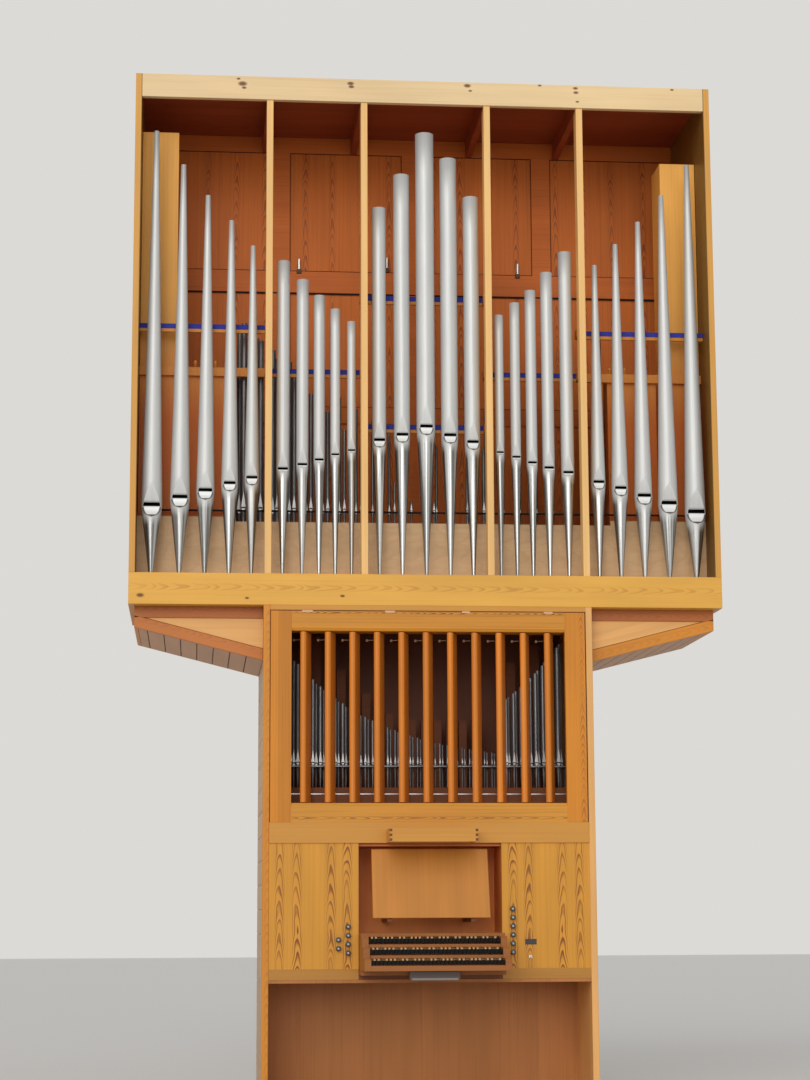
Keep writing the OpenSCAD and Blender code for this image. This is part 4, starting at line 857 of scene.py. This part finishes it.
class ORGAN_OT_inner(bpy.types.Operator):
    """Inner pipes, wooden pipes and the felted rails"""

    bl_idname = "organ.inner"
    bl_label = "Inner pipes"

    def execute(self, context):
        paint("inner_tin", "inner_pipes")
        paint("swell_tin", "swell_pipes")
        paint("pipe_spruce", "pedal_pipes", soften=0.0015)
        self.inner_lips()
        felt_h = context.scene.organ_joinery.felt_h
        y0, y1 = low("pipe_rails")[1], high("pipe_rails")[1]
        face, h, felt, step = y1 - 0.020, 0.052, 0.004, 0.001
        mullions, block = (-0.980, -0.389, 0.389, 0.980), 0.041
        # Ends and level of each rail, with two rails in the middle bay
        rails = ((0.9595, UPPER_IN, 4.725), (-UPPER_IN, -0.9595, 4.725), (0.3685, 1.0005, 4.447),
                 (-1.0005, -0.3685, 4.447), (-0.4095, 0.4095, 4.102), (-0.4095, 0.4095, 4.928))
        wood_rows, felt_rows = [], []
        for x0, x1, z in rails:
            behind = [m for m in mullions if x0 < m < x1]
            wood_rows += [(x0, x1, face + felt, y1, z, z + h),
                          (x0, x1, face + step, face + felt, z, z + h - felt_h),
                          *strips(behind, block, y0, face + step, z, z + h)]
            felt_rows.append((x0, x1, face, face + felt, z + h - felt_h, z + h))
        boards("pipe_rail_boards", wood_rows, "x", "pine_board", "felt", keep=("pipe_rails",))
        boards("pipe_rail_felt", felt_rows, "x", "wool_felt", "felt", chamfer=0.001)
        # Black strip at the front edge of the rack that holds the feet of the inner pipes: painted
        # shadow of the gap over the chest
        x, y = UPPER_IN - 0.03, low("inner_pipes")[1] - 0.003
        boards("rack_shadow_line", [(-x, x, y - 0.012, y, 3.603, 3.614)], "x", "painted_shade_black", "dark_pine",
               chamfer=0.001)
        return {"FINISHED"}

    def inner_lips(self):
        """Planed lips on the fronts of the inner pipes and the swell pipes, in two rows each.

        The pipes stand as in the solid model. The inner ones are 2 mm wider at each place outwards.
        The swell pipes double in length each octave away from a gap, and widen by its root.
        """
        pitch, shift, mouth_z = 0.1052, 0.026, 3.637
        row, i = np.indices((2, 11))
        x, y = (0.072 + i * pitch + row * shift).ravel(), (0.100 + row * 0.090).ravel()
        d = (0.016 + 0.002 * i).ravel()
        lips("inner_pipe_lips", np.concatenate([x, -x]), np.tile(y, 2), mouth_z, np.tile(d, 2))
        pitch, edge, gap, octave, mouth_z = 0.046, 0.854, 0.480, 0.378, 2.051
        left_h, right_h, left_d = 0.060, 0.379, 0.009
        row, i = np.indices((2, 37))
        x, y = ((i - 18 + row / 2) * pitch).ravel(), (0.040 + row * 0.060).ravel()
        here = (np.abs(x) < edge) & (np.abs(x - gap) > pitch / 3)
        x, y = x[here], y[here]
        octaves = (x - gap) / octave
        tall = np.where(x < gap, left_h * 2 ** -octaves, right_h * 2 ** octaves)
        lips("swell_pipe_lips", x, y, mouth_z, left_d * np.sqrt(tall / left_h))


def side_boards(side, name, rows, grain, key, **options):
    """Boards of the right side, or the same boards mirrored to the left."""
    rows = [(x0, x1, *rest) if side > 0 else (-x1, -x0, *rest) for x0, x1, *rest in rows]
    boards(("right_" if side > 0 else "left_") + name, rows, grain, key, "pine", **options)


class ORGAN_OT_lower(bpy.types.Operator):
    """Lower case, brackets and swell front"""

    bl_idname = "organ.lower"
    bl_label = "Lower case"

    def execute(self, context):
        j = context.scene.organ_joinery
        c = j.chamfer
        for side in (-1, 1):
            self.side(side, j)
        for side in (-1, 1):
            self.bracket(side, j)
        paint("pine_back", "lower_back")
        paint("pine_stile", "swell_stiles", soften=c)
        paint("pine_head", "swell_head", soften=c * 0.6)
        paint("pine_rail", "swell_roof", soften=c)
        paint("pine_sill", "swell_sill", soften=c * 0.6)
        paint("swell_spruce", "swell_chest")
        paint("pine_shutter", *[f"shutter_{i + 1}" for i in range(SHUTTERS)])
        # Leaves of the hinges on which the front swings down for tuning
        leaves = (-0.771, -0.705), (-0.267, -0.206), (0.204, 0.253), (0.706, 0.762)
        rows = [(*leaf, FRONT - 0.0015, FRONT + 0.002, 2.946, 2.958) for leaf in leaves]
        boards("frame_hinges", rows, "x", "dull_brass", "steel", chamfer=0.001)
        # Painted shade in the gaps between the swell front and the uprights and along its top, and
        # the strip along the swell chest
        x, z0, z1 = LOWER_IN, low("swell_stiles")[2], high("swell_stiles")[2]
        spans = ((x - 0.006, x - 0.0005, z0, z1), (-x + 0.0005, -x + 0.004, z0, z1),
                 (-x, x, z1 - 0.0045, z1 - 0.0005))
        rows = [(x0, x1, FRONT - 0.0008, FRONT + 0.002, *levels) for x0, x1, *levels in spans]
        boards("frame_gap_shade", rows, "z", "painted_shade_brown", "pine", chamfer=0.0004)
        # The pale strip stands for the highlight on the chest's top edge: a painted highlight
        (_, y, top), (half, _, _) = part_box("swell_pipes")
        rows = [(-half, half, y - 0.042, y - 0.039, top - 0.043, top - 0.036)]
        boards("swell_chest_strip", rows, "x", "zinc_steel", "steel", chamfer=0.0008)
        self.arms(math.radians(19.0), 0.140, 0.038)
        return {"FINISHED"}

    def arms(self, turn, width, thick):
        """A pale arm on the back of each shutter: a flat strip and the block on its end.

        Both are laid out along the shutter's own axes and then turned with it.
        """
        u, v = -width / 2, thick / 2
        rows = [(u - 0.006, u + 0.030, v - 0.001, v + 0.001, -0.041, -0.037),
                (u - 0.018, u - 0.004, v - 0.006, v + 0.006, -0.048, -0.032)]
        for i in range(SHUTTERS):
            a, b = np.array(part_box(f"shutter_{i + 1}"))

            def place(points):
                x, y, z = points.T
                return np.stack([(a[0] + b[0]) / 2 + x * math.cos(turn) + y * math.sin(turn),
                                 (a[1] + b[1]) / 2 - x * math.sin(turn) + y * math.cos(turn),
                                 b[2] - 0.027 + z], 1)

            boards(f"shutter_arm_{i + 1}", rows, "x", "waxed_beech", "pine",
                   f"shutter_{i + 1}_body", warp=place)

    def side(self, side, j):
        """Front edge, inner lining and level cladding of one side of the lower case."""
        y, inside, node = FRONT + 0.060, LOWER_IN + 0.014, ("lower_sides",)
        seams = np.append(np.arange(0.0, UNDERSIDE - 0.03, j.cladding), UNDERSIDE)
        rows = [(inside, LOWER_HALF, y, BACK, *levels) for levels in zip(seams, seams[1:])]
        side_boards(side, "cladding", rows, "y", "pine_clad", chamfer=0.004, seed=3, keep=node)
        rows = [(LOWER_IN, LOWER_HALF, FRONT, y, 0, UNDERSIDE),
                (LOWER_IN, inside, y, BACK, 0, UNDERSIDE)]
        side_boards(side, "front_edge", rows, "z", "pine_board" if side < 0 else "pine_pale",
                    chamfer=j.chamfer, seed=5 + side, keep=node)

    def bracket(self, side, j):
        """Framed front and boarded underside of one bracket, sheared to its slope."""
        inner, (_, y0, foot), (end, y1, _) = LOWER_HALF, *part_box("brackets")
        rise, board, top_h, slope_h = 0.200 / (end - inner), 0.022, 0.070, 0.072
        x, y = end - board, y0 + board

        def between(up, down):
            """Moves level 0 to up above the slope, and level 1 to down below the case if given."""
            def move(points):
                z = foot + rise * (np.abs(points[:, 0]) - inner) + up
                points[:, 2] = z + points[:, 2] * (1 if down is None else UNDERSIDE - down - z)
                return points
            return move

        def part(name, rows, grain, key, chamfer=0.0005, warp=between(0, None)):
            side_boards(side, "bracket_" + name, rows, grain, key, chamfer=chamfer, warp=warp,
                        seed=11 + side, keep=("brackets",))

        # The rail is darker and redder than the boards below it: painted shade under the case
        part("rail", [(inner, end, y0, y, UNDERSIDE - top_h, UNDERSIDE)], "x", "pine_red",
             j.chamfer, None)
        part("slope", [(inner, end, y0, y, 0, slope_h)], "x",
             "pine_slope" if side < 0 else "pine_board", j.chamfer)
        part("field", [(inner, end, y0 + board / 2, y, 0, 1)], "x", "pine_pale",
             warp=between(slope_h / 2, top_h / 2))
        part("back", [(inner, end, y1 - board, y1, 0, 1), (x, end, y, y1 - board, 0, 1)], "xy",
             "pine_board", warp=between(0, 0))
        seams = np.append(np.arange(inner, x - 0.04, j.soffit), x)
        part("soffit", [(*span, y, y1 - board, 0, board) for span in zip(seams, seams[1:])], "y",
             "pine_soffit", 0.004)
        # Painted shade: dark strips in the grooves between these boards, and a painted shadow line
        # over the slope
        rows = [(s - 0.003, s + 0.003, y, y1 - board, 0.001, 0.006) for s in seams[1:-1]]
        rows.append((inner, x, y0 + 0.008, y, slope_h - 0.003, slope_h + 0.003))
        part("grooves", rows, "x", "painted_shade_brown")


class ORGAN_OT_console(bpy.types.Operator):
    """Console panels, keyboards, knobs, desk and lamps"""

    bl_idname = "organ.console"
    bl_label = "Console"

    def execute(self, context):
        c = context.scene.organ_joinery.chamfer
        paint("pine_rail", "console_rails", "lamp_box", soften=c * 0.8)
        paint("pine_cheek", "key_frame", soften=c * 0.8)
        paint("pine_panel", "console_panels")
        paint("pine_niche", "console_niche")
        self.desk()
        (_, _, z1), (x, _, _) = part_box("console_niche")
        y, z0 = FRONT + 0.006, low("console_rails")[2] + 0.002
        boards("key_base", [(-x, x, y, y + 0.018, z0, z1)], "x", "pine_cheek_end", "pine",
               chamfer=0.001)
        paint("oiled_ebony", "naturals", soften=0.0012)
        paint("sharp_bone", "sharps", soften=0.0012)
        paint("grey_enamel", "pedal_lamp", soften=0.004)
        self.joints()
        self.fittings()
        self.knobs()
        return {"FINISHED"}

    def desk(self):
        """Music desk, a plywood board whose middle plane leans back evenly, on two short arms."""
        (x0, y0, z0), (x1, y1, z1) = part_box("music_desk")
        foot, lean, thick, arm_x, arm_w = z0 + 0.024, 0.130, 0.018, 0.235, 0.030

        def tilt(points):
            points[:, 1] += lean * (points[:, 2] - foot) / (z1 - foot)
            return points

        boards("music_desk_board", [(x0, x1, y0, y0 + thick, foot, z1)], "z", "desk_ply",
               "plywood", chamfer=0.003, keep=("music_desk",), warp=tilt)
        rows = [(x, x + arm_w, y0 + thick - 0.001, y1, z0, foot) for x in (arm_x, -arm_x - arm_w)]
        boards("music_desk_arms", rows, "y", "pine_cheek_end", "pine", keep=("music_desk",))

    def joints(self):
        """Dark end grain of the finger joints at both ends of the lamp box."""
        (x0, y0, z0), (x1, _, z1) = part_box("lamp_box")
        rows = [(x, x + 0.016, y0 - 0.0008, y0 + 0.002, z - 0.0075, z + 0.0075)
                for z in (z0 + k * (z1 - z0) for k in (0.15, 0.5, 0.85)) for x in (x0, x1 - 0.016)]
        boards("lamp_box_fingers", rows, "x", "end_grain", "pine", chamfer=0.0004)

    def fittings(self):
        """Bare label plate, lock, and the glass under the pedal lamp."""
        y = low("console_panels")[1]
        boards("label_plate", [(0.567, 0.636, y - 0.002, y + 0.001, 0.955, 0.987)], "x",
               "black_plate", chamfer=0.001)
        lock = turned([(0.0045, -0.004), (0.010, -0.0035), (0.0125, 0.0)], (0.598, y, 0.882), "y")
        piece("panel_lock", *lock, "zinc_steel", "steel")
        # The key slot is a black strip: painted shade inside the keyhole
        boards("panel_key_slot", [(0.5965, 0.5995, y - 0.0045, y - 0.002, 0.877, 0.887)], "z",
               "painted_shade_black", chamfer=0.0003)
        (x0, y0, z0), (x1, y1, _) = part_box("pedal_lamp")
        rows = [(x0 + 0.012, x1 - 0.012, y0 - 0.001, y1 - 0.006, z0 - 0.001, z0 + 0.014)]
        boards("pedal_lamp_glass", rows, "x", "milk_glass", chamfer=0.002)

    def knobs(self):
        """Turned black knobs on their rods, each with a pale disc let into its face."""
        for i in range(KNOBS):
            node, body = f"knob_{i + 1}", f"knob_{i + 1}_body"
            (x0, y0, z0), (x1, y1, z1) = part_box(node)
            centre, r, rod = ((x0 + x1) / 2, y0, (z0 + z1) / 2), (x1 - x0) / 2, 0.0060
            # Radius and depth, from the recess of the disc over the face and the rim to the rod
            rim = [(0.0058, 0.0030), (0.0064, 0.0006), (0.0080, 0), (r - 0.002, 0.0010),
                   (r, 0.0035), (r, 0.0120), (r - 0.0035, 0.0165), (0.0075, 0.0180),
                   (rod, 0.0185), (rod, y1 - y0)]
            piece(f"knob_turned_{i + 1}", *turned(rim, centre, "y"), "lacquer", "knob_black", body,
                  keep=(node,))
            disc = turned([(0.0052, 0.0004), (rod, 0.0008), (rod, 0.0040)], centre, "y")
            piece(f"knob_disc_{i + 1}", *disc, "porcelain", "bone", body)


class ORGAN_OT_pedals(bpy.types.Operator):
    """Knee space and pedalboard"""

    bl_idname = "organ.pedals"
    bl_label = "Pedals"

    def execute(self, context):
        paint("pine_knee", "knee_panels")
        (x0, y0, _), (x1, y1, top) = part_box("pedalboard")
        n, pitch, w, t, level = 18, 0.064, 0.023, 0.030, 0.110
        half, sharp_y, back = n * pitch / 2, y0 + 0.420, y1 - t
        rows = [(x0, x0 + t, y0, y1, 0, level), (x1 - t, x1, y0, y1, 0, level),
                (-half, half, y0, y0 + t, 0, level - 0.020), (-half, half, back, y1, 0, level)]
        node = ("pedalboard",)
        boards("pedal_frame", rows, "yyxx", "pine_board", "pine", chamfer=0.003, keep=node)
        # A sharp after each natural but E, B and the last one
        i = np.arange(n)
        x = (i + 0.5) * pitch - half
        sharps = x[(i % 7 != 2) & (i % 7 != 6) & (i < n - 1)] + pitch / 2
        rows = (strips(x, w, y0 + t, back, level - 0.04, level)
                + strips(sharps, w, sharp_y + 0.13, back, level - 0.04, level))
        boards("pedal_naturals", rows, "y", "pedal_oak", "pine", chamfer=0.004, keep=node)
        boards("pedal_sharps", strips(sharps, w, sharp_y, sharp_y + 0.16, level - 0.01, top), "y",
               "lacquer", "ebony", chamfer=0.005, keep=node)
        return {"FINISHED"}


class ORGAN_PT_panel(bpy.types.Panel):
    """Lists the groups of pieces"""

    bl_idname = "ORGAN_PT_panel"
    bl_label = "Pipe organ"
    bl_space_type = "VIEW_3D"
    bl_region_type = "UI"
    bl_category = "Organ"

    def draw(self, context):
        for step in STEPS:
            self.layout.operator(step.bl_idname)


STEPS = (ORGAN_OT_stage, ORGAN_OT_case, ORGAN_OT_display, ORGAN_OT_inner, ORGAN_OT_lower,
         ORGAN_OT_console, ORGAN_OT_pedals)
GROUPS = {"organ_pipes": PipeShape, "organ_joinery": Joinery, "organ_look": Look}


def register():
    for cls in (*GROUPS.values(), *STEPS, ORGAN_PT_panel):
        bpy.utils.register_class(cls)
    for name, cls in GROUPS.items():
        setattr(bpy.types.Scene, name, bpy.props.PointerProperty(type=cls))


def unregister():
    for name in GROUPS:
        delattr(bpy.types.Scene, name)
    for cls in (ORGAN_PT_panel, *STEPS, *GROUPS.values()):
        bpy.utils.unregister_class(cls)


def main():
    register()
    for step in STEPS:
        group, call = step.bl_idname.split(".")
        getattr(getattr(bpy.ops, group), call)()


if __name__ == "__main__":
    main()
